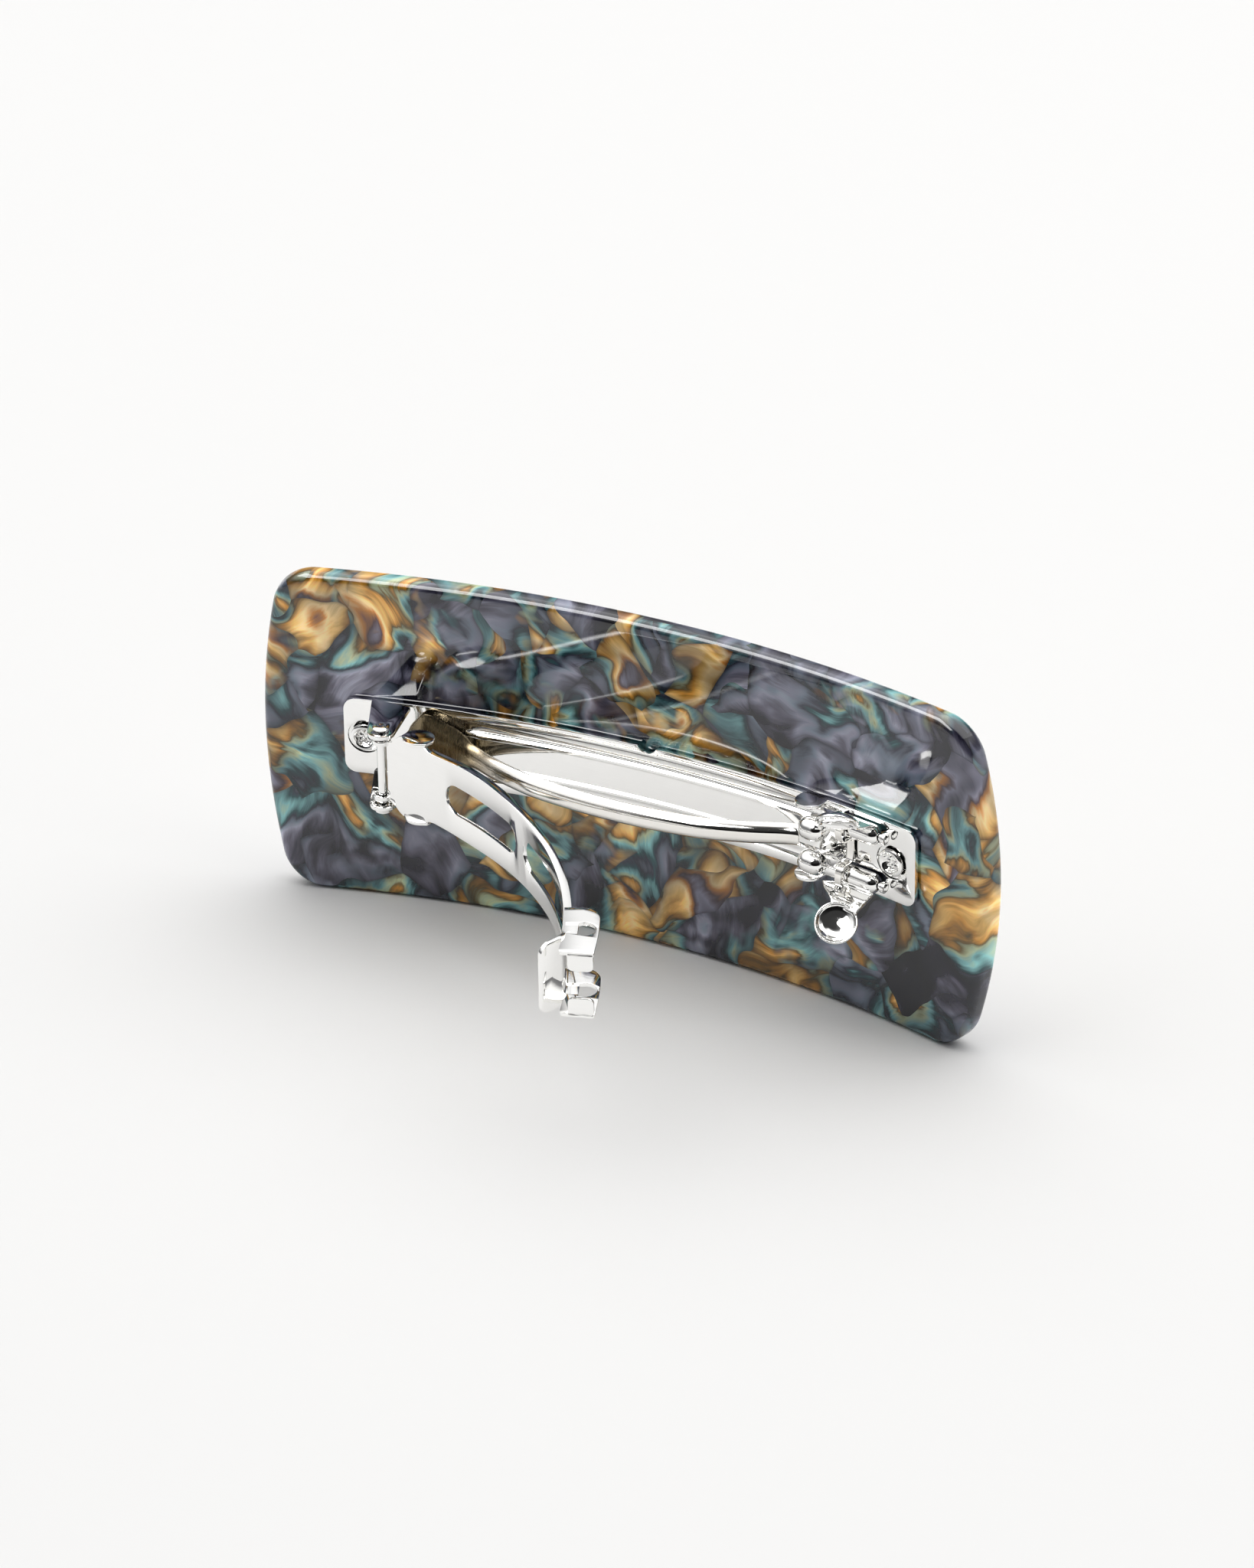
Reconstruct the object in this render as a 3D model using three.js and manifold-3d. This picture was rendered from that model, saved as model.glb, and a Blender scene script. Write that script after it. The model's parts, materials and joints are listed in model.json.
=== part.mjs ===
// Automatic hair barrette: a curved acetate plate standing on its long edge, with a riveted steel clip.
// Millimetres. +X runs along the plate, +Z up across its width, and the clip faces -Y.
// The origin is on the standing edge, at mid length and halfway through the plate's thickness.
import * as THREE from 'three';
import { mergeVertices } from 'three/addons/utils/BufferGeometryUtils.js';
import Module from 'manifold-3d';

const wasm = await Module();
wasm.setup();

// ---- Driving dimensions ----
const PLATE = {
  chord: 102, width: 45.3, thickness: 3.5, bendRadius: 153.1, dome: 1.6,
  endBulge: 2.06, cornerRadius: 4.5, edgeRadius: 1.3, rivetHole: 1.3, rivetHoleDepth: 2.1,
};
const GAP = 0.3; // between pieces that rest on each other
const BASE = {
  halfLength: 40.3, halfWidth: 5.3, top: 0.9, tabCorner: 1.6, ribStart: 27.5,
  notchAt: 0.6, notchHalf: 1.3, notchDepth: 0.8,
};
const RIVET = { left: -37.5, right: 36.6, shank: 0.9, head: 1.85, hole: 1.2, recess: 2.3 };
const HINGE = {
  along: -33, height: 8.5, pin: 0.6, hole: 0.78, head: 1.1,
  earInner: 4.8, earOuter: 5.4, earRadius: 1.75, earFootFrom: -36.6, earFootTo: -31,
};
const ARM = {
  radius: 54.5, startAngle: 81.9, sheet: 0.5, start: 0.35, end: 57.2, eyeInner: 3.6, eyeOuter: 4.25,
  eyeRadius: 1.2, offsetX: 0.58, offsetY: -0.3, slotHalf: 2.05,
  lipLength: 4.1, lipHalf: 4.7, lipCorner: 1.5, lipFlare: 0.9,
  lobeAt: 4.8, lobeRadius: 2.1, lobeInner: 5.3, lobeOuter: 5.8,
};
const SLOTS = [[10.3, 25.7], [27.8, 47.6]];
const CATCH = {
  start: 51.3, end: 60.6, inner: 3.95, outer: 4.45, depth: 4.4,
  holeAt: 55.2, holeDepth: 2.7, holeRadius: 1.5, holeFlat: 1.9, tabReach: 2.1, tabTop: 1.2,
};
const BOW = { sheet: 0.4, halfWidth: 1.55, camber: 1.05, fanHalf: 5.1, fanCamber: 1.1 };
// The clasp's places are counted from its own spot on the base: along it, to a side and out from the plate.
const CLASP = {
  along: 30.5, sheet: 0.5, windowHalf: 1.4, cheek: 0.6, cheekHalf: 0.75, cheekRise: 0.6,
  lugAlong: -5.6, lugRadius: 1.9, lugInner: 4.85,
};
const PIVOT = { side: 3.4, height: 1.75, radius: 1.35, bore: 0.58, pin: 0.45, from: -1, to: 5.0 };
const PADDLE = { along: 2.27, side: 7.2, height: 7.06, radius: 2.7, tilt: 48.9, turn: 21.3 };
const NOSE = { along: -4.1, side: 2.35, height: 3.6, radius: 1.5, halfLength: 1.95 };
const LEAF = { from: -0.4, to: 0.6, sheet: 0.25 };
const LATHE_SIDES = 24;

// ---- Places on the bent plate ----
const backRadius = PLATE.bendRadius + PLATE.thickness;
const originRadius = PLATE.bendRadius + PLATE.thickness / 2;
const midHeight = PLATE.width / 2;

// A point at arc length u from the middle, side v from the centre line and height h off the hollow face.
function onPlate(u, v, h) {
  const angle = u / PLATE.bendRadius;
  const domed = PLATE.dome * (1 - (2 * v / PLATE.width) ** 2);
  const radius = PLATE.bendRadius + domed - h;
  const y = radius * Math.cos(angle) - originRadius;
  return new THREE.Vector3(radius * Math.sin(angle), y, v + midHeight);
}

// A point of the clip's base, whose sheet follows the plate's centre line and is flat across.
function onBase(u, v, h) {
  const point = onPlate(u, 0, h);
  point.z = v + midHeight;
  return point;
}

// Rigid frame standing at u: its x runs along the plate, its y into the plate and its z across.
function standAt(u) {
  const matrix = new THREE.Matrix4().makeRotationZ(-u / PLATE.bendRadius);
  return matrix.setPosition(onBase(u, 0, 0));
}

// ---- Solids ----
function manifoldOf(geometry) {
  const bare = geometry.clone();
  bare.deleteAttribute('normal');
  bare.deleteAttribute('uv');
  const merged = mergeVertices(bare, 1e-4);
  const vertProperties = new Float32Array(merged.attributes.position.array);
  const triVerts = new Uint32Array(merged.index.array);
  return new wasm.Manifold(new wasm.Mesh({ numProp: 3, vertProperties, triVerts }));
}

function geometryOf(solid) {
  const mesh = solid.getMesh();
  const geometry = new THREE.BufferGeometry();
  geometry.setAttribute('position', new THREE.BufferAttribute(new Float32Array(mesh.vertProperties), 3));
  geometry.setIndex(new THREE.BufferAttribute(new Uint32Array(mesh.triVerts), 1));
  return geometry;
}

// Indexed triangles as a closed geometry, turned so that its faces point out.
function closedGeometry(points, faces) {
  let volume = 0;
  for (const [a, b, c] of faces) {
    volume += points[a].dot(new THREE.Vector3().crossVectors(points[b], points[c]));
  }
  const outward = volume < 0 ? faces.map(([a, b, c]) => [a, c, b]) : faces;
  const geometry = new THREE.BufferGeometry().setFromPoints(points);
  geometry.setIndex(outward.flat());
  return geometry;
}

// Solid through a row of stations, each { place(v, h), section: [[v, h], ...] } with as many points.
function loft(stations) {
  const points = [];
  const faces = [];
  const count = stations[0].section.length;
  for (const station of stations) {
    const flat = station.section.map(([v, h]) => new THREE.Vector2(v, h));
    if (THREE.ShapeUtils.isClockWise(flat)) flat.reverse();
    station.flat = flat;
    points.push(...flat.map((p) => station.place(p.x, p.y)));
  }
  for (let row = 0; row < stations.length - 1; row += 1) {
    for (let i = 0; i < count; i += 1) {
      const a = row * count + i;
      const b = row * count + (i + 1) % count;
      faces.push([a, b, b + count], [a, b + count, a + count]);
    }
  }
  const last = (stations.length - 1) * count;
  for (const [row, offset] of [[0, 0], [stations.length - 1, last]]) {
    const { flat } = stations[row];
    for (const [a, b, c] of THREE.ShapeUtils.triangulateShape(flat, [])) {
      const clockwise = THREE.ShapeUtils.isClockWise([flat[a], flat[b], flat[c]]);
      const keep = clockwise === (offset === 0);
      faces.push(keep ? [a + offset, b + offset, c + offset] : [a + offset, c + offset, b + offset]);
    }
  }
  return manifoldOf(closedGeometry(points, faces));
}

function steps(from, to, count) {
  return Array.from({ length: count + 1 }, (_, i) => from + (to - from) * i / count);
}

// Cylinder across the part (along Z) or along any given axis, between two heights on that axis.
function cylinder(radius, low, high, matrix, sides = LATHE_SIDES) {
  const geometry = new THREE.CylinderGeometry(radius, radius, high - low, sides);
  geometry.translate(0, (low + high) / 2, 0);
  geometry.applyMatrix4(matrix);
  return manifoldOf(geometry);
}

function box(low, high, matrix) {
  const geometry = new THREE.BoxGeometry(high[0] - low[0], high[1] - low[1], high[2] - low[2]);
  geometry.translate((low[0] + high[0]) / 2, (low[1] + high[1]) / 2, (low[2] + high[2]) / 2);
  geometry.applyMatrix4(matrix);
  return manifoldOf(geometry);
}

// Turned solid about the matrix's y axis.
function turned(profile, matrix, sides = LATHE_SIDES) {
  const geometry = new THREE.LatheGeometry(profile.map(([r, y]) => new THREE.Vector2(r, y)), sides);
  geometry.applyMatrix4(matrix);
  const solid = manifoldOf(geometry);
  return solid.volume() < 0 ? manifoldOf(flipped(geometry)) : solid;
}

function flipped(geometry) {
  const index = geometry.index.array;
  for (let i = 0; i < index.length; i += 3) [index[i + 1], index[i + 2]] = [index[i + 2], index[i + 1]];
  return geometry;
}

// Flat outline in x and y of the matrix's frame, given a thickness from one z to another.
function slab(shape, from, to, matrix) {
  const settings = { depth: to - from, bevelEnabled: false, curveSegments: 8 };
  const geometry = new THREE.ExtrudeGeometry(shape, settings);
  geometry.translate(0, 0, from);
  geometry.applyMatrix4(matrix);
  return manifoldOf(geometry);
}

function join(solids) {
  return solids.reduce((sum, solid) => sum.add(solid));
}

// Plate's y axis turned out of the hollow face, for turned pieces that stand on it.
function outOfPlate(u) {
  return standAt(u).multiply(new THREE.Matrix4().makeRotationX(Math.PI));
}

// ---- Acetate plate: rings of its outline, rounded over the edge and drawn in to the centre ----
function plateOutline() {
  const halfLength = Math.asin(PLATE.chord / 2 / backRadius) * PLATE.bendRadius;
  const shape = { l: halfLength - PLATE.cornerRadius, w: PLATE.width / 2 - PLATE.cornerRadius };
  const outline = [];
  const endNormal = (v) => new THREE.Vector2(1, 2 * PLATE.endBulge * v / shape.w ** 2).normalize();
  for (const turn of [1, -1]) {
    for (const v of steps(-shape.w, shape.w, 8)) {
      const u = shape.l - PLATE.endBulge * (v / shape.w) ** 2;
      outline.push({ u: turn * u, v: turn * v, n: endNormal(v).multiplyScalar(turn) });
    }
    const slant = endNormal(shape.w).angle();
    for (const angle of steps(slant, Math.PI / 2, 4).slice(1)) {
      const n = new THREE.Vector2(Math.cos(angle), Math.sin(angle)).multiplyScalar(turn);
      outline.push({ u: turn * (shape.l - PLATE.endBulge), v: turn * shape.w, n });
    }
    for (const u of steps(shape.l - PLATE.endBulge, PLATE.endBulge - shape.l, 18).slice(1)) {
      outline.push({ u: turn * u, v: turn * shape.w, n: new THREE.Vector2(0, turn) });
    }
    for (const angle of steps(Math.PI / 2, Math.PI - slant, 4).slice(1, -1)) {
      const n = new THREE.Vector2(Math.cos(angle), Math.sin(angle)).multiplyScalar(turn);
      outline.push({ u: turn * (PLATE.endBulge - shape.l), v: turn * shape.w, n });
    }
  }
  return outline;
}

function acetatePlate() {
  const outline = plateOutline();
  const quarter = steps(0, Math.PI / 2, 3);
  const r = PLATE.edgeRadius;
  const front = quarter.map((a) => [r * (1 - Math.sin(a)), -r * (1 - Math.cos(a))]);
  const back = quarter.map((a) => [r * (1 - Math.cos(a)), r - PLATE.thickness - r * Math.sin(a)]);
  const rims = [...front, ...back].map(([inset, h]) => outline.map(({ u, v, n }) => {
    const reach = PLATE.cornerRadius - inset;
    return { u: u + reach * n.x, v: v + reach * n.y, h };
  }));
  const shrink = (ring, k) => ring.map(({ u, v, h }) => ({ u: u * k, v: v * k, h }));
  const inner = [0.2, 0.4, 0.6, 0.8];
  const frontFace = inner.map((k) => shrink(rims[0], k));
  const backFace = inner.toReversed().map((k) => shrink(rims.at(-1), k));
  const rings = [...frontFace, ...rims, ...backFace];
  const points = rings.flat().map(({ u, v, h }) => onPlate(u, v, h));
  const count = outline.length;
  const faces = [];
  for (let row = 0; row < rings.length - 1; row += 1) {
    for (let i = 0; i < count; i += 1) {
      const a = row * count + i;
      const b = row * count + (i + 1) % count;
      faces.push([a, b, b + count], [a, b + count, a + count]);
    }
  }
  const frontCentre = points.push(onPlate(0, 0, 0)) - 1;
  const backCentre = points.push(onPlate(0, 0, -PLATE.thickness)) - 1;
  const last = (rings.length - 1) * count;
  for (let i = 0; i < count; i += 1) {
    faces.push([frontCentre, (i + 1) % count, i], [backCentre, last + i, last + (i + 1) % count]);
  }
  const holes = [RIVET.left, RIVET.right].map((u) => (
    cylinder(PLATE.rivetHole, -2, PLATE.rivetHoleDepth, outOfPlate(u).multiply(flipY()))
  ));
  return manifoldOf(closedGeometry(points, faces)).subtract(join(holes));
}

function flipY() {
  return new THREE.Matrix4().makeRotationX(Math.PI);
}

// ---- Base bar ----
// Half width of the bar: full along its length, rounded at the tab corners, nicked once on each edge.
function baseHalfWidth(u) {
  const fromEnd = BASE.halfLength - Math.abs(u);
  const c = BASE.tabCorner;
  const corner = fromEnd < c ? c - Math.sqrt(Math.max(c * c - (c - fromEnd) ** 2, 0)) : 0;
  const away = Math.abs(u - BASE.notchAt);
  const notch = away < BASE.notchHalf ? BASE.notchDepth * (1 - (away / BASE.notchHalf) ** 2) : 0;
  return BASE.halfWidth - corner - notch;
}

// Half section from the middle out: raised land, rib, sunken panel and edge flange, flattened at the tabs.
function baseSection(u) {
  const w = baseHalfWidth(u);
  const relief = THREE.MathUtils.clamp((BASE.ribStart - Math.abs(u)) / 2, 0, 1);
  const side = [[0, 0.12], [1.9, 0.12], [2.1, 0.4], [2.5, 0.4], [2.75, -0.2], [3.9, -0.2], [4.15, 0.15]];
  const squeeze = Math.min(1, (w - 0.35) / 4.15);
  const half = side.map(([v, rise]) => [v * squeeze, BASE.top + rise * relief]);
  half.push([w - 0.15, BASE.top + 0.15 * relief], [w, BASE.top - 0.15], [w, GAP]);
  const mirrored = half.slice(1).map(([v, h]) => [-v, h]).reverse();
  return [...mirrored, ...half];
}

function hingeEar(side) {
  const axis = onBase(HINGE.along, 0, HINGE.height);
  const foot = [HINGE.earFootFrom, HINGE.earFootTo].map((u) => onBase(u, 0, GAP + 0.1));
  const shape = new THREE.Shape();
  shape.moveTo(foot[0].x, foot[0].y);
  shape.lineTo(foot[1].x, foot[1].y);
  shape.lineTo(axis.x + HINGE.earRadius, axis.y);
  shape.absarc(axis.x, axis.y, HINGE.earRadius, 0, -Math.PI, true);
  shape.closePath();
  const [low, high] = side > 0 ? [HINGE.earInner, HINGE.earOuter] : [-HINGE.earOuter, -HINGE.earInner];
  return slab(shape, midHeight + low, midHeight + high, new THREE.Matrix4());
}

// Rounded upright at the clasp's end of the base, which the arm's catch slides inside.
function guideLug(side) {
  const shape = new THREE.Shape();
  const r = CLASP.lugRadius;
  shape.moveTo(-r, -GAP - 0.1);
  shape.absarc(0, -r - 0.2, r, Math.PI, 2 * Math.PI, false);
  shape.lineTo(r, -GAP - 0.1);
  shape.closePath();
  const [low, high] = [side * CLASP.lugInner, side * BASE.halfWidth].sort((a, b) => a - b);
  return slab(shape, low, high, standAt(CLASP.along + CLASP.lugAlong));
}

// Small cheeks across the base that hold the ends of a lever's pin.
function pinCheeks(side) {
  const centre = side * PIVOT.side;
  return [PIVOT.from - GAP - CLASP.cheek, PIVOT.to + GAP].map((from) => {
    const low = [from, -PIVOT.height - CLASP.cheekRise, centre - CLASP.cheekHalf];
    const high = [from + CLASP.cheek, -GAP - 0.1, centre + CLASP.cheekHalf];
    return box(low, high, standAt(CLASP.along));
  });
}

// Opening in the base under a lever's barrel.
function barrelWindow(side) {
  const centre = side * PIVOT.side;
  const [low, high] = [centre - CLASP.windowHalf, centre + CLASP.windowHalf];
  return box([PIVOT.from - GAP, -2, low], [PIVOT.to + GAP, 1, high], standAt(CLASP.along));
}

function baseBar() {
  const nicks = [-1.3, -0.65, 0, 0.65, 1.3].map((d) => BASE.notchAt + d);
  const ends = [0, 0.12, 0.45, 0.9, 1.6].flatMap((d) => [BASE.halfLength - d, d - BASE.halfLength]);
  const along = [...steps(-36, 36, 24), ...nicks, ...ends, BASE.ribStart, -BASE.ribStart];
  along.push(BASE.ribStart - 2, 2 - BASE.ribStart);
  const sorted = [...new Set(along.map((u) => Number(u.toFixed(3))))].sort((a, b) => a - b);
  const kept = sorted.filter((u, i) => i === 0 || u - sorted[i - 1] > 0.1);
  const bar = loft(kept.map((u) => ({ place: (v, h) => onBase(u, v, h), section: baseSection(u) })));
  const sides = [1, -1];
  const opened = bar.subtract(join(sides.map(barrelWindow)));
  const solid = join([opened, ...sides.map(hingeEar), ...sides.map(guideLug), ...sides.flatMap(pinCheeks)]);
  const pinHole = cylinder(HINGE.hole, -7, 7, hingeFrame());
  const pivotHoles = sides.map((side) => cylinder(PIVOT.pin + 0.12, -3, 7, pivotFrame(side), 16));
  const rivetHoles = [RIVET.left, RIVET.right].flatMap((u) => [
    cylinder(RIVET.hole, -2, 2, outOfPlate(u)),
    cylinder(RIVET.recess, 0.55, 2, outOfPlate(u)),
  ]);
  return solid.subtract(join([pinHole, ...pivotHoles, ...rivetHoles]));
}

// Headed rivet through the base into the plate, with a sunk middle.
function rivet(u) {
  const head = RIVET.head;
  const profile = [
    [0, -1.7], [RIVET.shank, -1.7], [RIVET.shank, 0.85], [head - 0.1, 0.85], [head, 1.05],
    [head - 0.15, 1.35], [head - 0.45, 1.42], [head - 0.75, 1.2], [head - 0.95, 0.95], [0, 0.9],
  ];
  return turned(profile, outOfPlate(u));
}

// ---- Hinge ----
function hingeFrame() {
  const matrix = new THREE.Matrix4().makeRotationX(Math.PI / 2);
  return matrix.setPosition(onBase(HINGE.along, 0, HINGE.height));
}

function hingePin() {
  const end = HINGE.earOuter + 0.3;
  const half = [[HINGE.pin, 0], [HINGE.pin, end], [HINGE.head, end], [HINGE.head - 0.1, end + 0.3]];
  half.push([HINGE.head - 0.45, end + 0.55], [0, end + 0.62]);
  const profile = [...half.slice(1).map(([r, y]) => [r, -y]).reverse(), ...half.slice(1)];
  return turned(profile, hingeFrame(), 20);
}

// ---- Clamp arm ----
const armCentre = (() => {
  const hinge = onBase(HINGE.along, 0, HINGE.height);
  const angle = THREE.MathUtils.degToRad(ARM.startAngle);
  const start = new THREE.Vector2(hinge.x + ARM.offsetX, hinge.y + ARM.offsetY);
  return start.sub(new THREE.Vector2(Math.cos(angle), Math.sin(angle)).multiplyScalar(ARM.radius));
})();

// A point at distance s along the arm from its hinged end, depth d in from its outer face.
function onArm(s, v, d) {
  const angle = THREE.MathUtils.degToRad(ARM.startAngle) - s / ARM.radius;
  const radius = ARM.radius + d;
  return new THREE.Vector3(
    armCentre.x + radius * Math.cos(angle), armCentre.y + radius * Math.sin(angle), v + midHeight,
  );
}

// Frame on the arm at s: x onwards along it, y in towards the base, z across.
function armFrame(s) {
  const angle = THREE.MathUtils.degToRad(ARM.startAngle) - s / ARM.radius;
  const matrix = new THREE.Matrix4().makeRotationZ(angle - Math.PI / 2);
  return matrix.setPosition(onArm(s, 0, 0));
}

// Half width: narrow between the ears, wide at the shoulders, then a long taper to the catch.
const ARM_WIDTHS = [
  [0, 4.25], [1.2, 4.25], [1.5, 4.6], [2.3, 5.45], [3.2, 5.8], [4.2, 5.85], [5.4, 5.85], [6.2, 5.6],
  [6.9, 5.1], [7.6, 4.9], [9, 4.92], [13, 5.15], [17, 5.2], [26, 4.95], [33, 4.75], [41, 4.5], [60, 4.45],
];

function armHalfWidth(s) {
  const next = ARM_WIDTHS.findIndex(([at]) => at >= s);
  if (next < 1) return ARM_WIDTHS[0][1];
  const [s0, w0] = ARM_WIDTHS[next - 1];
  const [s1, w1] = ARM_WIDTHS[next];
  return w0 + (w1 - w0) * (s - s0) / (s1 - s0);
}

function armSection(s) {
  const w = armHalfWidth(s);
  const fold = s < 8 ? 0.55 : 1.0;
  const t = ARM.sheet;
  const half = [[0, 0], [w - 0.25, 0], [w, 0.22], [w, fold], [w - 0.45, fold], [w - 0.5, t], [0, t]];
  const mirrored = half.slice(1, -1).map(([v, d]) => [-v, d]).reverse();
  return [...half, ...mirrored];
}

// Slot with round ends, cut through the arm.
function armSlot(from, to) {
  const r = ARM.slotHalf;
  const rounded = [0.02, 0.12, 0.35, 0.65, 1].map((k) => k * r);
  const along = [
    ...rounded.map((k) => from + k), ...steps(from + r, to - r, 7).slice(1, -1),
    ...rounded.map((k) => to - k).reverse(),
  ];
  return loft(along.map((s) => {
    const fromEnd = Math.min(s - from, to - s, r);
    const half = Math.sqrt(r * r - (r - fromEnd) ** 2);
    return { place: (v, d) => onArm(s, v, d), section: [[-half, -2], [half, -2], [half, 3], [-half, 3]] };
  }));
}

// Folded side of the arm's free end, with a catch hole and an inturned front tab.
function catchCheek(side) {
  const { start, end, inner, outer, depth, tabTop, tabReach } = CATCH;
  const [low, high] = side > 0 ? [inner, outer] : [-outer, -inner];
  const along = steps(start, end, 6);
  const cheek = loft(along.map((s, i) => {
    const deep = i === 0 ? depth * 0.55 : i === 1 ? depth * 0.92 : depth;
    const section = [[low, 0.1], [high, 0.1], [high, deep], [low, deep]];
    return { place: (v, d) => onArm(s, v, d), section };
  }));
  const tabEdges = [side * (inner - tabReach), side * (inner + 0.2)].sort((a, b) => a - b);
  const tab = box([-0.5, tabTop, tabEdges[0]], [0, depth, tabEdges[1]], armFrame(end));
  const across = armFrame(CATCH.holeAt).multiply(new THREE.Matrix4().makeRotationX(Math.PI / 2));
  across.setPosition(onArm(CATCH.holeAt, 0, CATCH.holeDepth));
  const hole = cylinder(CATCH.holeRadius, -6, 6, across, 16);
  const clear = box([-3, -0.5, -6], [3, CATCH.holeFlat, 6], armFrame(CATCH.holeAt));
  return cheek.add(tab).subtract(hole.subtract(clear));
}

// Rounded finger lip that turns out from the arm's end.
function fingerLip() {
  const shape = new THREE.Shape();
  const { lipHalf: w, lipLength: l, lipCorner: c } = ARM;
  shape.moveTo(-w, 0.4);
  shape.lineTo(-w, c - l);
  shape.absarc(c - w, c - l, c, Math.PI, 1.5 * Math.PI, false);
  shape.absarc(w - c, c - l, c, 1.5 * Math.PI, 2 * Math.PI, false);
  shape.lineTo(w, 0.4);
  shape.closePath();
  const stand = armFrame(ARM.end).multiply(new THREE.Matrix4().makeRotationZ(ARM.lipFlare));
  return slab(shape, -ARM.sheet, 0, stand.multiply(new THREE.Matrix4().makeRotationY(Math.PI / 2)));
}

// Side lobe under a shoulder, which bears on the fan of the bow.
function shoulderLobe(side) {
  const shape = new THREE.Shape();
  const r = ARM.lobeRadius;
  shape.moveTo(-r, 0.2);
  shape.absarc(0, 0.9, r, Math.PI, 0, true);
  shape.lineTo(r, 0.2);
  shape.closePath();
  const [low, high] = [side * ARM.lobeInner, side * ARM.lobeOuter].sort((a, b) => a - b);
  return slab(shape, low, high, armFrame(ARM.lobeAt));
}

function clampArm() {
  const shoulders = ARM_WIDTHS.map(([s]) => s).filter((s) => s > 0.5 && s < 17);
  const along = [ARM.start, ...shoulders, ...steps(17, ARM.end, 20)];
  const plate = loft(along.map((s) => ({ place: (v, d) => onArm(s, v, d), section: armSection(s) })));
  const sides = [1, -1];
  const eyes = sides.map((side) => {
    const [low, high] = side > 0 ? [ARM.eyeInner, ARM.eyeOuter] : [-ARM.eyeOuter, -ARM.eyeInner];
    return cylinder(ARM.eyeRadius, low, high, hingeFrame(), 20);
  });
  const solid = join([
    plate, ...eyes, ...sides.map(shoulderLobe), ...sides.map(catchCheek), fingerLip(),
  ]);
  const holes = [cylinder(HINGE.hole, -4.5, 4.5, hingeFrame()), ...SLOTS.map(([a, b]) => armSlot(a, b))];
  return solid.subtract(join(holes));
}

// ---- Tension bow: a channel arched over the base, flared to a fan under the hinge ----
const BOW_ROUTE = [
  [-32.2, 3.2], [-30, 3.1], [-27, 3.0], [-24.6, 3.1], [-22.6, 3.7], [-19, 5.8], [-11.4, 8.6], [0.3, 9.8],
  [11.2, 8.7], [18, 6.3], [22.9, 3.7], [24.1, 3.3],
];
// Half width against arc length on the plate.
const BOW_WIDTHS = [
  [-33, 0.6], [-31.8, 1.75], [-30.6, 3.3], [-29.4, 4.9], [-28.9, 5.1], [-28, 4.9], [-27, 4.3], [-25.5, 3.7],
  [-24.5, 3.1], [-23.7, 2.4], [-23, 1.8], [-22, 1.6], [-21, 1.55], [25, 1.55],
];

function bowHalfWidth(u) {
  const next = BOW_WIDTHS.findIndex(([at]) => at >= u);
  const [u0, w0] = BOW_WIDTHS[next - 1];
  const [u1, w1] = BOW_WIDTHS[next];
  return w0 + (w1 - w0) * (u - u0) / (u1 - u0);
}

function tensionBow() {
  const route = BOW_ROUTE.map(([u, h]) => onBase(u, 0, h));
  const curve = new THREE.CatmullRomCurve3(route, false, 'centripetal');
  const stations = [...steps(0, 0.22, 16), ...steps(0.24, 1, 26)].map((t) => {
    const middle = curve.getPointAt(t);
    const tangent = curve.getTangentAt(t);
    const out = new THREE.Vector3(tangent.y, -tangent.x, 0).normalize();
    const u = Math.atan2(middle.x, middle.y + originRadius) * PLATE.bendRadius;
    const w = bowHalfWidth(u);
    const widening = THREE.MathUtils.clamp((w - BOW.halfWidth) / (BOW.fanHalf - BOW.halfWidth), 0, 1);
    const fullCamber = THREE.MathUtils.lerp(BOW.camber, BOW.fanCamber, widening);
    const camber = fullCamber * Math.min(w / BOW.halfWidth, 1);
    const across = steps(-1, 1, 8);
    const outer = across.map((k) => [k * w, -camber * k * k]);
    const inner = across.map((k) => [k * (w - 0.25), -camber * k * k - BOW.sheet]).reverse();
    const place = (v, n) => middle.clone().addScaledVector(out, n).setZ(v + midHeight);
    return { place, section: [...outer, ...inner] };
  });
  return loft(stations);
}

// ---- Clasp ----
// Frame on a lever's pivot, its y axis along the base.
function pivotFrame(side) {
  const shift = new THREE.Matrix4().makeTranslation(0, -PIVOT.height, side * PIVOT.side);
  return standAt(CLASP.along).multiply(shift).multiply(new THREE.Matrix4().makeRotationZ(-Math.PI / 2));
}

// Bent strip of sheet metal across the base: [v, h, from, to] at each station, from and to along the base.
function bentStrip(stations, sheet, side) {
  const stand = standAt(CLASP.along);
  return loft(stations.map(([v, h, from, to], i) => {
    const [before, after] = [stations[Math.max(i - 1, 0)], stations[Math.min(i + 1, stations.length - 1)]];
    const rise = new THREE.Vector2(before[1] - after[1], after[0] - before[0]).setLength(sheet / 2);
    const flat = (u, k) => new THREE.Vector3(u, -h - k * rise.y, side * (v + k * rise.x));
    const place = (u, k) => flat(u, k).applyMatrix4(stand);
    return { place, section: [[from, -1], [to, -1], [to, 1], [from, 1]] };
  }));
}

// Turned body that lies along the base, with rounded ends.
function lyingCapsule(radius, half, matrix, sides) {
  const straight = half - radius;
  const cap = steps(0, Math.PI / 2, 4).map((a) => [radius * Math.cos(a), straight + radius * Math.sin(a)]);
  cap.at(-1)[0] = 0;
  return turned([...cap.map(([r, y]) => [r, -y]).reverse(), ...cap], matrix, sides);
}

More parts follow.
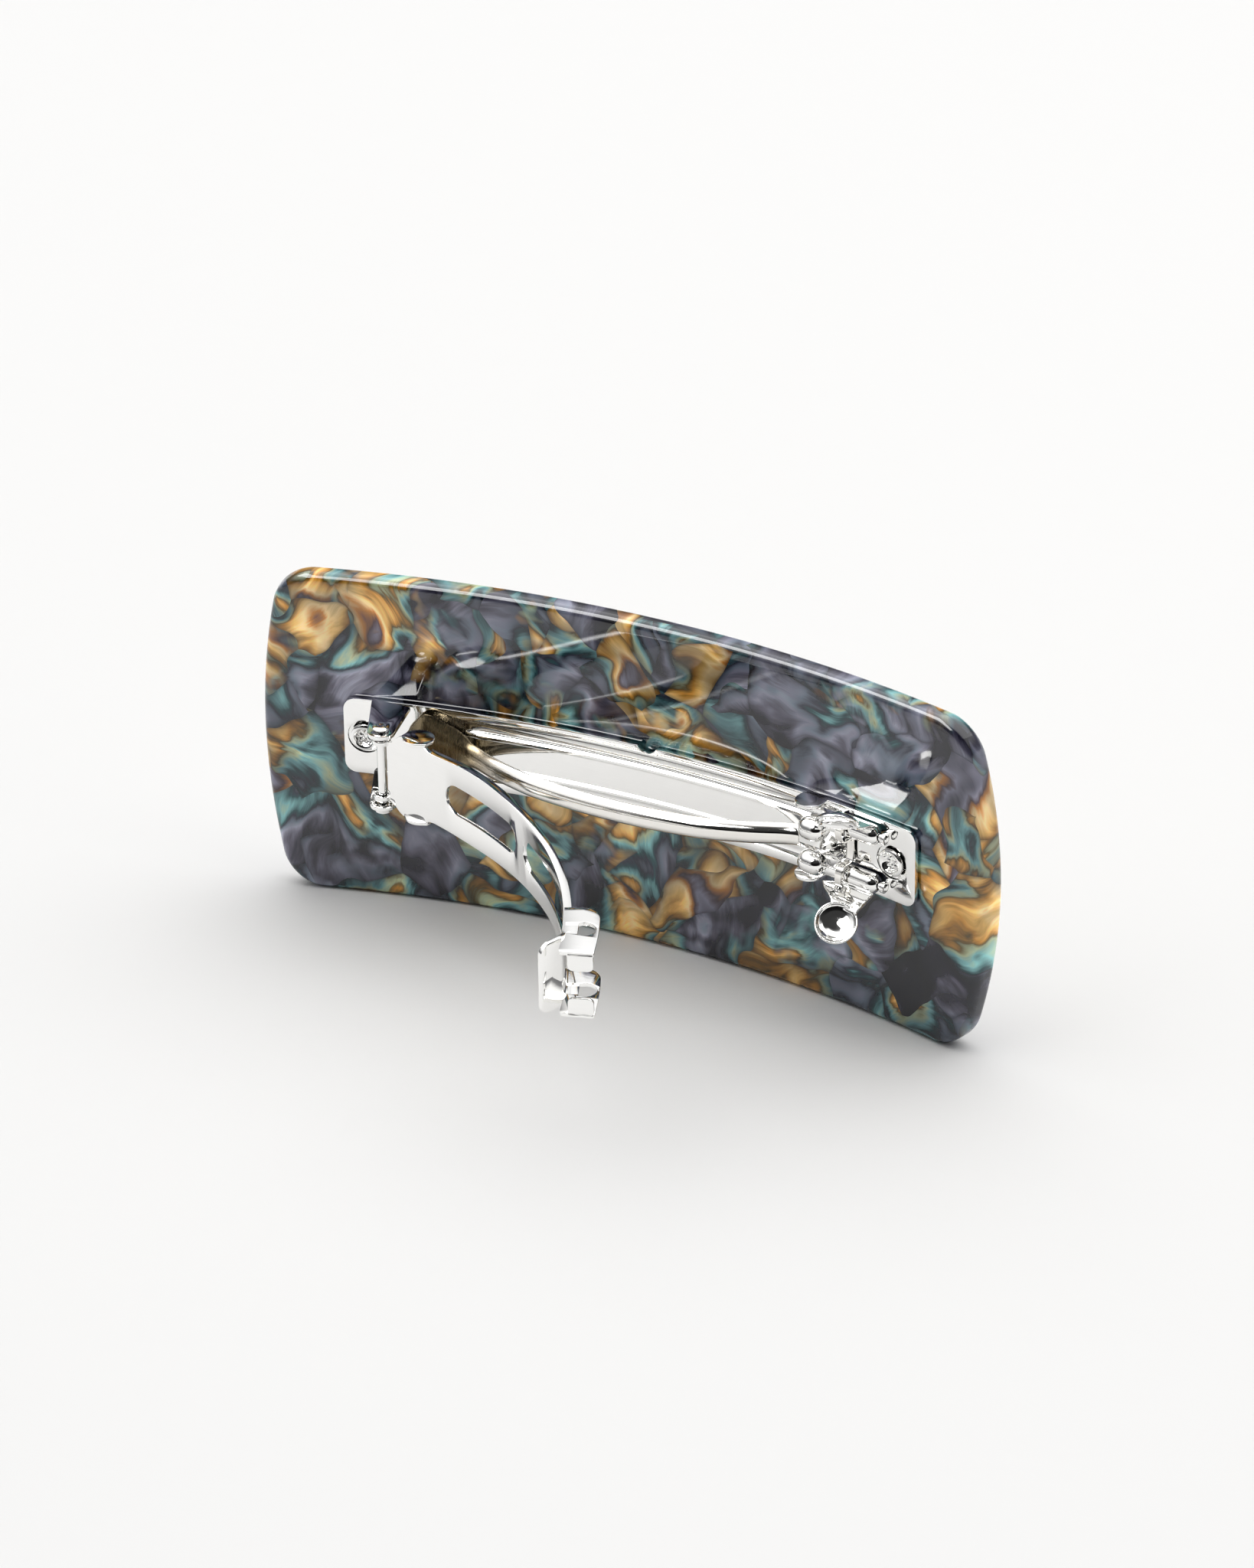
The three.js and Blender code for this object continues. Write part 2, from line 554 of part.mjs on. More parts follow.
// Dished round paddle, its hollow turned out and in towards the other lever.
function leverPaddle(side) {
  const r = PADDLE.radius;
  const dish = [
    [0, -0.75], [r * 0.5, -0.6], [r * 0.85, -0.3], [r, 0.1], [r, 0.35], [r - 0.3, 0.4], [r - 0.55, 0.1],
    [r * 0.45, -0.2], [0, -0.3],
  ];
  const [tilt, turn] = [PADDLE.tilt, PADDLE.turn].map(THREE.MathUtils.degToRad);
  const flat = Math.cos(turn);
  const out = new THREE.Vector3(Math.sin(turn), -flat * Math.cos(tilt), -side * flat * Math.sin(tilt));
  const lean = new THREE.Quaternion().setFromUnitVectors(new THREE.Vector3(0, 1, 0), out);
  const seat = new THREE.Matrix4().makeRotationFromQuaternion(lean);
  seat.setPosition(PADDLE.along, -PADDLE.height, side * PADDLE.side);
  return turned(dish, standAt(CLASP.along).multiply(seat), 28);
}

// One squeeze lever: a barrel on the pin, a neck out to the paddle and a bridge in to the catch nose.
function claspLever(side) {
  const middle = new THREE.Matrix4().makeTranslation(0, (PIVOT.from + PIVOT.to) / 2, 0);
  const barrelSeat = pivotFrame(side).multiply(middle);
  const barrel = lyingCapsule(PIVOT.radius, (PIVOT.to - PIVOT.from) / 2, barrelSeat, 20);
  const neck = bentStrip([
    [4.1, 1.6, -0.6, 4.2], [4.7, 2.1, -0.9, 4.3], [5.1, 2.8, -3.1, 4.2], [5.3, 3.6, -2.3, 4.2],
    [5.5, 4.3, -1.1, 4.2], [5.75, 4.9, -0.2, 4.1], [6.05, 5.4, 0.2, 4.0],
  ], CLASP.sheet, side);
  const bridge = bentStrip(
    [[3.8, 2.75, -3.4, 0.6], [3.2, 2.95, -3.4, 0.6], [2.5, 2.85, -3.4, 0.6]], CLASP.sheet, side,
  );
  const noseSeat = new THREE.Matrix4().makeTranslation(NOSE.along, -NOSE.height, side * NOSE.side);
  noseSeat.multiply(new THREE.Matrix4().makeRotationZ(Math.PI / 2));
  const nose = lyingCapsule(NOSE.radius, NOSE.halfLength, standAt(CLASP.along).multiply(noseSeat), 20);
  const solid = join([barrel, neck, leverPaddle(side), bridge, nose]);
  return solid.subtract(cylinder(PIVOT.bore, -3, 7, pivotFrame(side), 16));
}

function leverPin(side) {
  const reach = GAP + CLASP.cheek + 0.15;
  return cylinder(PIVOT.pin, PIVOT.from - reach, PIVOT.to + reach, pivotFrame(side), 16);
}

// Leaf spring with its foot on the base, curling over both barrels to spread the necks.
function claspSpring() {
  const half = [
    [0.9, 1.38], [1.5, 1.5], [1.72, 1.9], [1.72, 2.8], [1.9, 3.4], [2.5, 3.75], [3.3, 3.85], [4.0, 3.7],
    [4.4, 3.3],
  ];
  const across = [...half.map(([v, h]) => [-v, h]).reverse(), [0, 1.35], ...half];
  return bentStrip(across.map(([v, h]) => [v, h, LEAF.from, LEAF.to]), LEAF.sheet, 1);
}

// ---- Assembly ----
const ACETATE = { color: 0x2e3038, roughness: 0.12, metalness: 0 };
const NICKEL = { color: 0xd8d6d2, roughness: 0.12, metalness: 1 };
const SPRING_STEEL = { color: 0xcdc6b8, roughness: 0.16, metalness: 1 };

const pieces = [
  ['acetate_plate', acetatePlate(), ACETATE],
  ['base_bar', baseBar(), NICKEL],
  ['rivet_left', rivet(RIVET.left), NICKEL],
  ['rivet_right', rivet(RIVET.right), NICKEL],
  ['hinge_pin', hingePin(), NICKEL],
  ['clamp_arm', clampArm(), NICKEL],
  ['tension_bow', tensionBow(), SPRING_STEEL],
  ['clasp_lever_upper', claspLever(1), NICKEL],
  ['clasp_lever_lower', claspLever(-1), NICKEL],
  ['lever_pin_upper', leverPin(1), NICKEL],
  ['lever_pin_lower', leverPin(-1), NICKEL],
  ['clasp_spring', claspSpring(), SPRING_STEEL],
];

const barrette = new THREE.Group();
for (const [name, solid, finish] of pieces) {
  const mesh = new THREE.Mesh(geometryOf(solid), new THREE.MeshStandardMaterial(finish));
  mesh.name = name;
  barrette.add(mesh);
}

export default barrette;
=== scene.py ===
"""Hair barrette: an acetate plate with a riveted clip, its fine meshes, finishes, stage and camera."""
import json
import math

import bmesh
import bpy
from mathutils import Matrix, Vector


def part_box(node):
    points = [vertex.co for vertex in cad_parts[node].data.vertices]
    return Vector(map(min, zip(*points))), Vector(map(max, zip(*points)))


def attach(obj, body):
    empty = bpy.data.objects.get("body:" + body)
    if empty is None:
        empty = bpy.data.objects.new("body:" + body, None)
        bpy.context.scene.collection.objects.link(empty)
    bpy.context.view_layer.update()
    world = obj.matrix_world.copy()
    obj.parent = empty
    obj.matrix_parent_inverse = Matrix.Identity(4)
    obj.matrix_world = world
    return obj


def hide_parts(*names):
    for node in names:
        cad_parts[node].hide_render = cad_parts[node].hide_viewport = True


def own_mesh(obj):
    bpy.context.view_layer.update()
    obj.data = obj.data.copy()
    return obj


bl_info = {
    "name": "Barrette",
    "version": (1, 0, 0),
    "blender": (4, 5, 0),
    "location": "3D View > Sidebar > Barrette",
    "description": "Builds an acetate hair barrette with its clip, finishes, stage and camera",
    "category": "Add Mesh",
}

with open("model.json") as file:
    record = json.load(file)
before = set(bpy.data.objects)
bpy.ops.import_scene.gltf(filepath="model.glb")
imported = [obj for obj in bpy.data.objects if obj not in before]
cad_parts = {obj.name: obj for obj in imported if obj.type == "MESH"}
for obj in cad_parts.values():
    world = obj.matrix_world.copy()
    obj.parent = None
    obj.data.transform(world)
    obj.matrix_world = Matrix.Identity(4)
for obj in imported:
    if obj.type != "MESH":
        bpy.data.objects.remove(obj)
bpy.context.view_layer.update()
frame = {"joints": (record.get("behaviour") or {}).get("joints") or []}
JOINTS = {joint["name"]: joint for joint in frame["joints"]}
PLATE_LOW, PLATE_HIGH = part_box("acetate_plate")

# Pieces are modelled flat, in millimetres: x along, y out towards the wearer's hair, z across.
# They are then laid in their place in metres.
MM = 0.001
PLATE_WIDTH = (PLATE_HIGH.z - PLATE_LOW.z) / MM
MID_HEIGHT = PLATE_WIDTH / 2
HINGE_AXIS = Vector(JOINTS["arm_hinge"]["pos_m"]) / MM
CLASP_ALONG = 30.5
LEVER_PIN_SIDE, LEVER_PIN_RISE = 3.4, 1.75


# ---- Sizes and colours that a user would change ----
class PlateSettings(bpy.types.PropertyGroup):
    """Sizes and finish of the acetate plate"""
    chord: bpy.props.FloatProperty(
        name="Length", description="Length of the plate, end to end, in metres", default=PLATE_HIGH.x - PLATE_LOW.x,
        unit="LENGTH")
    thickness: bpy.props.FloatProperty(
        name="Thickness", description="Thickness of the acetate", default=0.0035, unit="LENGTH")
    bend_radius: bpy.props.FloatProperty(
        name="Bend radius", description="Radius of the hollow face along the plate", default=0.1531, unit="LENGTH")
    dome: bpy.props.FloatProperty(
        name="Dome", description="How far the middle of the hollow face lies behind its edges", default=0.0016,
        unit="LENGTH")
    corner_radius: bpy.props.FloatProperty(
        name="Corner radius", description="Radius of the outline's corners", default=0.0045, unit="LENGTH")
    edge_radius: bpy.props.FloatProperty(
        name="Edge radius", description="Radius of the polished edge", default=0.0013, unit="LENGTH")
    end_bulge: bpy.props.FloatProperty(
        name="End bulge", description="How far each end bows out", default=0.003, unit="LENGTH")
    flake_size: bpy.props.FloatProperty(
        name="Flake size", description="Size of the coloured flakes in the acetate", default=0.0125, unit="LENGTH")
    gloss: bpy.props.FloatProperty(
        name="Gloss roughness", description="Roughness of the polished face", default=0.035, subtype="FACTOR")


class ClipSettings(bpy.types.PropertyGroup):
    """Colours and edges of the metal clip"""
    nickel: bpy.props.FloatVectorProperty(
        name="Nickel", description="Colour of the plated sheet", default=(0.975, 0.97, 0.955), subtype="COLOR")
    spring: bpy.props.FloatVectorProperty(
        name="Spring steel", description="Colour of the tension bow", default=(0.96, 0.94, 0.90), subtype="COLOR")
    roughness: bpy.props.FloatProperty(
        name="Roughness", description="Roughness of the bright plate", default=0.055, subtype="FACTOR")
    edge_break: bpy.props.FloatProperty(
        name="Edge break", description="Rounding of the sheet's edges", default=0.00012, unit="LENGTH")


class StageSettings(bpy.types.PropertyGroup):
    """Floor and camera"""
    floor: bpy.props.FloatVectorProperty(
        name="Floor", description="Colour of the floor", default=(0.84, 0.836, 0.828), subtype="COLOR")
    azimuth: bpy.props.FloatProperty(
        name="Azimuth", description="Camera's direction round the barrette", default=0.484016, subtype="ANGLE",
        unit="ROTATION")
    elevation: bpy.props.FloatProperty(
        name="Elevation", description="Camera's height above the horizon", default=0.502974, subtype="ANGLE",
        unit="ROTATION")
    roll: bpy.props.FloatProperty(
        name="Roll", description="Camera's tilt to the side", default=-0.0127009, subtype="ANGLE", unit="ROTATION")
    distance: bpy.props.FloatProperty(
        name="Distance", description="Camera's distance", default=0.78203, unit="LENGTH")
    lens: bpy.props.FloatProperty(
        name="Lens", description="Focal length in millimetres", default=143.737, unit="CAMERA")


# ---- Modelling tools ----
def only(piece):
    """Selects one piece alone and makes it the active one."""
    bpy.ops.object.select_all(action="DESELECT")
    piece.select_set(True)
    bpy.context.view_layer.objects.active = piece


def add(primitive, name, **settings):
    """Adds a primitive, with its place and size put into its mesh."""
    bpy.ops.object.select_all(action="DESELECT")
    primitive(**settings)
    piece = bpy.context.object
    piece.name = piece.data.name = name
    bpy.ops.object.transform_apply(location=True, rotation=True, scale=True)
    return piece


def block(name, low, high):
    size = [b - a for a, b in zip(low, high)]
    middle = [(a + b) / 2 for a, b in zip(low, high)]
    return add(bpy.ops.mesh.primitive_cube_add, name, size=1, location=middle, scale=size)


def disc(name, radius, low, high, centre, axis="Z", sides=32):
    """Cylinder from low to high along the Y or Z axis, centred on a point of the other two directions."""
    turns = {"Z": (0, 0, 0), "Y": (math.pi / 2, 0, 0)}
    place = Vector(centre)
    place["XYZ".index(axis)] = (low + high) / 2
    return add(bpy.ops.mesh.primitive_cylinder_add, name, vertices=sides, radius=radius, depth=high - low,
               location=place, rotation=turns[axis])


def pick(piece, kind, test):
    """Selects the faces, edges or vertices that pass a test, in edit mode."""
    bpy.ops.mesh.select_mode(type=kind)
    bpy.ops.mesh.select_all(action="DESELECT")
    shape = bmesh.from_edit_mesh(piece.data)
    group = {"VERT": shape.verts, "EDGE": shape.edges, "FACE": shape.faces}[kind]
    for item in group:
        if test(item):
            item.select_set(True)
    shape.select_flush_mode()
    bmesh.update_edit_mesh(piece.data)


def edit(piece):
    only(piece)
    bpy.ops.object.mode_set(mode="EDIT")


def leave():
    bpy.ops.object.mode_set(mode="OBJECT")


def round_edges(piece, test, radius, segments=3):
    """Bevels the edges that pass a test."""
    edit(piece)
    pick(piece, "EDGE", test)
    bpy.ops.mesh.bevel(offset=radius, segments=segments, affect="EDGES", clamp_overlap=True)
    leave()


def break_edges(piece, radius, angle=50.0, segments=2):
    """Bevels every edge sharper than an angle."""
    edit(piece)
    bpy.ops.mesh.select_mode(type="EDGE")
    bpy.ops.mesh.select_all(action="DESELECT")
    bpy.ops.mesh.edges_select_sharp(sharpness=math.radians(angle))
    bpy.ops.mesh.bevel(offset=radius, segments=segments, affect="EDGES", clamp_overlap=True)
    leave()


def slice_up(piece, axis, places):
    """Cuts a piece across at each place, so that it can bend there."""
    normal = [float(axis == name) for name in "xyz"]
    edit(piece)
    for place in places:
        bpy.ops.mesh.select_all(action="SELECT")
        bpy.ops.mesh.bisect(plane_co=[place * n for n in normal], plane_no=normal, threshold=1e-5)
    leave()


def hull(name, pieces):
    """One convex piece round several."""
    piece = join(name, pieces)
    edit(piece)
    bpy.ops.mesh.select_all(action="SELECT")
    bpy.ops.mesh.convex_hull()
    bpy.ops.mesh.select_all(action="SELECT")
    bpy.ops.mesh.dissolve_limited(angle_limit=math.radians(1))
    leave()
    return piece


def join(name, pieces):
    bpy.ops.object.select_all(action="DESELECT")
    for piece in pieces:
        piece.select_set(True)
    bpy.context.view_layer.objects.active = pieces[0]
    bpy.ops.object.join()
    pieces[0].name = pieces[0].data.name = name
    return pieces[0]


def finish_with(piece, kind, **settings):
    """Adds a modifier and applies it."""
    only(piece)
    modifier = piece.modifiers.new(kind.title(), kind)
    for key, value in settings.items():
        setattr(modifier, key, value)
    bpy.ops.object.modifier_apply(modifier=modifier.name)


def cut(piece, cutters):
    """Cuts each cutter's shape out of a piece."""
    for cutter in cutters:
        finish_with(piece, "BOOLEAN", operation="DIFFERENCE", solver="EXACT", object=cutter)
        bpy.data.objects.remove(cutter)


def lay(piece, place):
    """Puts each point of a flat piece in its place, from millimetres to metres."""
    for vertex in piece.data.vertices:
        vertex.co = place(*vertex.co) * MM
    piece.data.update()
    return piece


def face_out(piece):
    """Turns every face outwards."""
    edit(piece)
    bpy.ops.mesh.select_all(action="SELECT")
    bpy.ops.mesh.normals_make_consistent(inside=False)
    leave()


def smooth(piece, angle=35.0):
    only(piece)
    bpy.ops.object.shade_smooth_by_angle(angle=math.radians(angle))


def turned(name, profile, sides, place):
    """Turned piece from its rings (radius, height): a cylinder cut into rings, each drawn in to its radius."""
    last = len(profile) - 1
    piece = disc(name, 1, 0, last, (0, 0, 0), "Y", sides)
    slice_up(piece, "y", range(1, last))

    def ring(x, y, z):
        radius, height = profile[round(y)]
        return place(x * radius, height, z * radius)

    lay(piece, ring)
    face_out(piece)
    return piece


def between(low, high, count):
    """Both ends and the even places between them."""
    return [low + (high - low) * i / count for i in range(count + 1)]


def inner(low, high, step):
    """Places a step apart, short of both ends."""
    return between(low, high, max(2, round((high - low) / step)))[1:-1]


def along_table(table, x):
    """Value from a table of (x, value), in straight lines between its rows."""
    if x <= table[0][0]:
        return table[0][1]
    for (x0, y0), (x1, y1) in zip(table, table[1:]):
        if x <= x1:
            return y0 + (y1 - y0) * (x - x0) / (x1 - x0)
    return table[-1][1]


def curve_table(table, x):
    """Value and slope on the smooth curve through a table of (x, value)."""
    last = len(table) - 1
    i = max(0, min(last - 1, sum(x > row[0] for row in table) - 1))
    (x0, y0), (x1, y1) = table[i], table[i + 1]

    def slope(k):
        a, b = table[max(k - 1, 0)], table[min(k + 1, last)]
        return (b[1] - a[1]) / (b[0] - a[0])

    span = x1 - x0
    t = (x - x0) / span
    m0, m1 = slope(i) * span, slope(i + 1) * span
    value = ((2 * t**3 - 3 * t**2 + 1) * y0 + (t**3 - 2 * t**2 + t) * m0
             + (3 * t**2 - 2 * t**3) * y1 + (t**3 - t**2) * m1)
    rate = ((6 * t**2 - 6 * t) * y0 + (3 * t**2 - 4 * t + 1) * m0
            + (6 * t - 6 * t**2) * y1 + (3 * t**2 - 2 * t) * m1)
    return value, rate / span


def ramp(x, low, high):
    """0 below low, 1 above high and an eased step between."""
    t = min(1.0, max(0.0, (x - low) / (high - low)))
    return t * t * (3 - 2 * t)


# ---- Places on the bent plate ----
def plate_sizes():
    settings = bpy.context.scene.barrette_plate
    radius, dome = settings.bend_radius / MM, settings.dome / MM
    return radius, dome, radius + settings.thickness / MM / 2


def on_plate(u, h, v):
    """Point at length u and side v of the hollow face, h out of it."""
    radius, dome, origin = plate_sizes()
    reach = radius + dome * (1 - (2 * v / PLATE_WIDTH) ** 2) - h
    return Vector((reach * math.sin(u / radius), reach * math.cos(u / radius) - origin, v + MID_HEIGHT))


def on_base(u, h, v):
    """Point of the clip, whose base follows the plate's centre line and is flat across."""
    point = on_plate(u, h, 0)
    point.z = v + MID_HEIGHT
    return point


def at_clasp(x, y, z):
    """Point of the rigid clasp, set down on its own spot of the base."""
    angle = CLASP_ALONG / plate_sizes()[0]
    along = Vector((math.cos(angle), -math.sin(angle), 0))
    out = Vector((-math.sin(angle), -math.cos(angle), 0))
    return on_base(CLASP_ALONG, 0, 0) + along * x + out * y + Vector((0, 0, z))


# ---- Acetate plate ----
class BARRETTE_OT_plate(bpy.types.Operator):
    """Curved acetate plate with a polished, rounded edge"""
    bl_idname = "barrette.plate"
    bl_label = "Acetate plate"

    def execute(self, context):
        settings = context.scene.barrette_plate
        radius, _, _ = plate_sizes()
        thick = settings.thickness / MM
        half = math.asin(settings.chord / MM / 2 / (radius + thick)) * radius
        corner, edge = settings.corner_radius / MM, settings.edge_radius / MM
        plate = block("plate", (-half, -thick, -MID_HEIGHT), (half, 0, MID_HEIGHT))
        round_edges(plate, lambda e: abs(e.verts[0].co.y - e.verts[1].co.y) > thick / 2, corner, 12)
        round_edges(plate, lambda e: abs(e.verts[0].co.y - e.verts[1].co.y) < 1e-4, edge, 7)
        slice_up(plate, "x", inner(-half, half, 1.7))
        slice_up(plate, "z", inner(-MID_HEIGHT, MID_HEIGHT, 1.7))
        bulge = settings.end_bulge / MM

        def place(u, h, v):
            return on_plate(u * (1 - bulge / half * (v / MID_HEIGHT) ** 2), h, v)

        lay(plate, place)
        face_out(plate)
        smooth(plate, 40)
        put_on(plate, "root", "acetate_plate", acetate())
        return {"FINISHED"}


def put_on(piece, body, node, material):
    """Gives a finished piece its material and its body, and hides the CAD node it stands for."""
    piece.data.materials.clear()
    piece.data.materials.append(material)
    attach(piece, body)
    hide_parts(node)


# ---- Base bar ----
BASE_HALF, BASE_WIDE, BASE_LOW, BASE_TOP = 40.3, 5.3, 0.3, 0.9
RIVET_ALONG = {"left": -37.5, "right": 36.6}


def base_relief(u, v):
    """Rise of the pressed sheet: a long land between two ribs, with a sunken panel outside each."""
    reach = 1 - ramp(abs(u - 1.5), 24.0, 26.2)
    side = abs(v)
    land = 0.12 * (1 - ramp(side, 1.9, 2.05))
    rib = 0.42 * ramp(side, 1.85, 2.1) * (1 - ramp(side, 2.45, 2.8))
    panel = -0.22 * ramp(side, 2.6, 2.9) * (1 - ramp(side, 3.75, 4.15))
    flange = 0.14 * ramp(side, 3.9, 4.3)
    return reach * (land + rib + panel + flange)


def upright(name, radius, height, low, high, hole=0.0):
    """Rounded upright of sheet: a lobe on a foot as wide, drilled for its pin. Its sheet lies from low to high."""
    lobe = disc(name, radius, low, high, (0, height, 0), "Z", 40)
    foot = block(name + "_foot", (-radius, 0.4, low), (radius, 0.6, high))
    piece = hull(name, [lobe, foot])
    if hole:
        cut(piece, [disc("hole", hole, low - 1, high + 1, (0, height, 0), "Z", 32)])
    break_edges(piece, 0.09)
    return piece


class BARRETTE_OT_base(bpy.types.Operator):
    """Pressed base of the clip, with its hinge ears, guide lugs and pin cheeks"""
    bl_idname = "barrette.base"
    bl_label = "Base bar"

    def execute(self, context):
        bar = block("base", (-BASE_HALF, BASE_LOW, -BASE_WIDE), (BASE_HALF, BASE_TOP, BASE_WIDE))
        round_edges(bar, lambda e: abs(e.verts[0].co.y - e.verts[1].co.y) > 0.3, 1.6, 8)
        nick_radius, nick_depth, window_half = 1.456, 0.8, 1.35
        cutters = []
        for side in (1, -1):
            nick_side = side * (BASE_WIDE + nick_radius - nick_depth)
            cutters.append(disc("nick", nick_radius, -2, 3, (0.6, 0, nick_side), "Y", 48))
        for side in (1, -1):
            middle = side * LEVER_PIN_SIDE
            window = block("window", (29.2, -1, middle - window_half), (35.8, 2, middle + window_half))
            round_edges(window, lambda e: abs(e.verts[0].co.y - e.verts[1].co.y) > 1, 0.5, 4)
            cutters.append(window)
        for along in RIVET_ALONG.values():
            cutters.append(disc("recess", 2.3, 0.55, 2, (along, 0, 0), "Y", 48))
            cutters.append(disc("hole", 1.2, -1, 2, (along, 0, 0), "Y", 32))
        cut(bar, cutters)
        break_edges(bar, context.scene.barrette_clip.edge_break / MM)
        slice_up(bar, "x", inner(-BASE_HALF, BASE_HALF, 1.3))
        ribs = [1.8, 1.95, 2.1, 2.45, 2.65, 2.8, 2.95, 3.75, 3.95, 4.15, 4.35]
        slice_up(bar, "z", [side * v for v in ribs for side in (1, -1)])
        lay(bar, lambda u, y, v: on_base(u, y + base_relief(u, v) * (0.4 if y < 0.5 else 1), v))
        base = join("base", [bar, *hinge_ears(), *guide_lugs(), *pin_cheeks()])
        face_out(base)
        smooth(base, 32)
        put_on(base, "root", "base_bar", nickel())
        return {"FINISHED"}


def hinge_ears():
    """Two ears that hold the hinge pin, on feet that run back along the base."""
    ears = []
    for side in (1, -1):
        low, high = sorted((side * 4.8, side * 5.35))
        ear = disc("ear", 1.75, low, high, (HINGE_AXIS.x, HINGE_AXIS.y, 0), "Z", 44)
        toes = [on_base(u, 0.45, 0) for u in (-36.6, -31.0)]
        foot = block("ear_foot", (toes[0].x, toes[0].y - 0.1, low), (toes[1].x, toes[0].y + 0.1, high))
        ear = hull("ear", [ear, foot])
        cut(ear, [disc("hole", 0.78, low - 1, high + 1, (HINGE_AXIS.x, HINGE_AXIS.y, 0), "Z", 32)])
        break_edges(ear, 0.1)
        ears.append(lay(ear, lambda x, y, z: Vector((x, y, z + MID_HEIGHT))))
    return ears


def guide_lugs():
    """Two lugs that guide the arm's cheeks in beside the clasp."""
    lugs = []
    for side in (1, -1):
        low, high = sorted((side * 4.85, side * 5.3))
        lug = upright("lug", 1.9, 2.1, low, high)
        lugs.append(lay(lug, lambda x, y, z: at_clasp(x - 5.6, y, z)))
    return lugs


def pin_cheeks():
    """Four cheeks that hold the ends of the two lever pins."""
    cheeks = []
    for side in (1, -1):
        for start in (-1.9, 5.3):
            cheek = upright("cheek", 0.75, 1.6, start, start + 0.6, 0.57)
            cheeks.append(lay(cheek, lambda x, y, z: at_clasp(z, y + 0.15, side * LEVER_PIN_SIDE + x)))
    return cheeks


# ---- Rivets and pins ----
class BARRETTE_OT_fasteners(bpy.types.Operator):
    """Two rivets, the hinge pin and the two lever pins"""
    bl_idname = "barrette.fasteners"
    bl_label = "Rivets and pins"

    def execute(self, context):
        for name, along in RIVET_ALONG.items():
            self.rivet(name, along)
        self.hinge_pin()
        for name, side in (("upper", 1), ("lower", -1)):
            pin = turned("lever_pin_" + name + "_fine", [
                (0.01, -2.0), (0.3, -2.0), (0.45, -1.88), (0.45, 5.88), (0.3, 6.0), (0.01, 6.0),
            ], 24, lambda x, y, z: at_clasp(y, LEVER_PIN_RISE + x, side * LEVER_PIN_SIDE + z))
            smooth(pin)
            put_on(pin, "root", "lever_pin_" + name, nickel())
        return {"FINISHED"}

    def rivet(self, name, along):
        """Headed rivet whose middle is sunk into small facets by the setting punch."""
        head = [
            (0.01, -1.7), (0.9, -1.7), (0.9, 0.85), (1.74, 0.85), (1.84, 0.95), (1.86, 1.1), (1.8, 1.25),
            (1.66, 1.36), (1.48, 1.4), (1.3, 1.34), (1.16, 1.2), (1.06, 1.0), (0.94, 0.86), (0.78, 0.8),
            (0.6, 0.86), (0.42, 0.84), (0.2, 0.76), (0.01, 0.74),
        ]

        def place(x, y, z):
            in_the_middle = y > 0.5 and 0.3 < math.hypot(x, z) < 1.1
            punched = 0.07 * math.sin(7 * math.atan2(z, x)) if in_the_middle else 0
            return on_base(along, y + punched, z) + (on_base(along + x, 0, 0) - on_base(along, 0, 0))

        piece = turned("rivet_" + name + "_fine", head, 48, place)
        smooth(piece, 30)
        put_on(piece, "root", "rivet_" + name, nickel())

    def hinge_pin(self):
        """Cross pin with peened heads."""
        half = [(0.6, 5.6), (1.0, 5.68), (1.1, 5.8), (1.08, 5.98), (0.9, 6.12), (0.6, 6.2), (0.3, 6.16), (0.01, 6.1)]
        profile = [(r, -y) for r, y in reversed(half)] + half

        def place(x, y, z):
            return HINGE_AXIS + Vector((x, z, y))

        piece = turned("hinge_pin_fine", profile, 36, place)
        smooth(piece, 40)
        put_on(piece, "root", "hinge_pin", nickel())


# ---- Clamp arm ----
ARM_RADIUS, ARM_START = 54.5, math.radians(81.9)
ARM_WIDTHS = [
    (0.3, 4.2), (1.0, 4.25), (1.4, 4.6), (2.2, 5.4), (3.1, 5.8), (4.2, 5.88), (5.4, 5.85), (6.2, 5.6), (6.9, 5.15),
    (7.6, 4.95), (9.0, 4.95), (13.0, 5.15), (17.0, 5.2), (26.0, 4.95), (33.0, 4.75), (41.0, 4.5), (56.0, 4.45),
    (57.5, 4.7), (64.0, 4.7),
]
ARM_FLAT_HALF, SLOT_HALF, ARM_WALL = 5.0, 2.05, 0.45
SLOTS = ((10.3, 25.7), (27.8, 47.6))
LIP_START, LIP_BEND, LIP_TURN, LIP_REACH = 56.4, 1.6, 0.67, 3.4


def on_arm(s, y, v):
    """Point at length s of the arm, y out of its outer face, v across."""
    start = HINGE_AXIS + Vector((0.58, -0.3, 0))
    middle = start - ARM_RADIUS * Vector((math.cos(ARM_START), math.sin(ARM_START), 0))
    angle = ARM_START - s / ARM_RADIUS
    reach = ARM_RADIUS - y
    return Vector((middle.x + reach * math.cos(angle), middle.y + reach * math.sin(angle), v + MID_HEIGHT))


def arm_side(s, v):
    """Side of a flat point once the arm has its changing width; the slots keep their own."""
    keep = SLOT_HALF + 0.25
    if abs(v) <= keep:
        return v
    width, _ = curve_table(ARM_WIDTHS, s)
    return math.copysign(keep + (abs(v) - keep) * (width - keep) / (ARM_FLAT_HALF - keep), v)


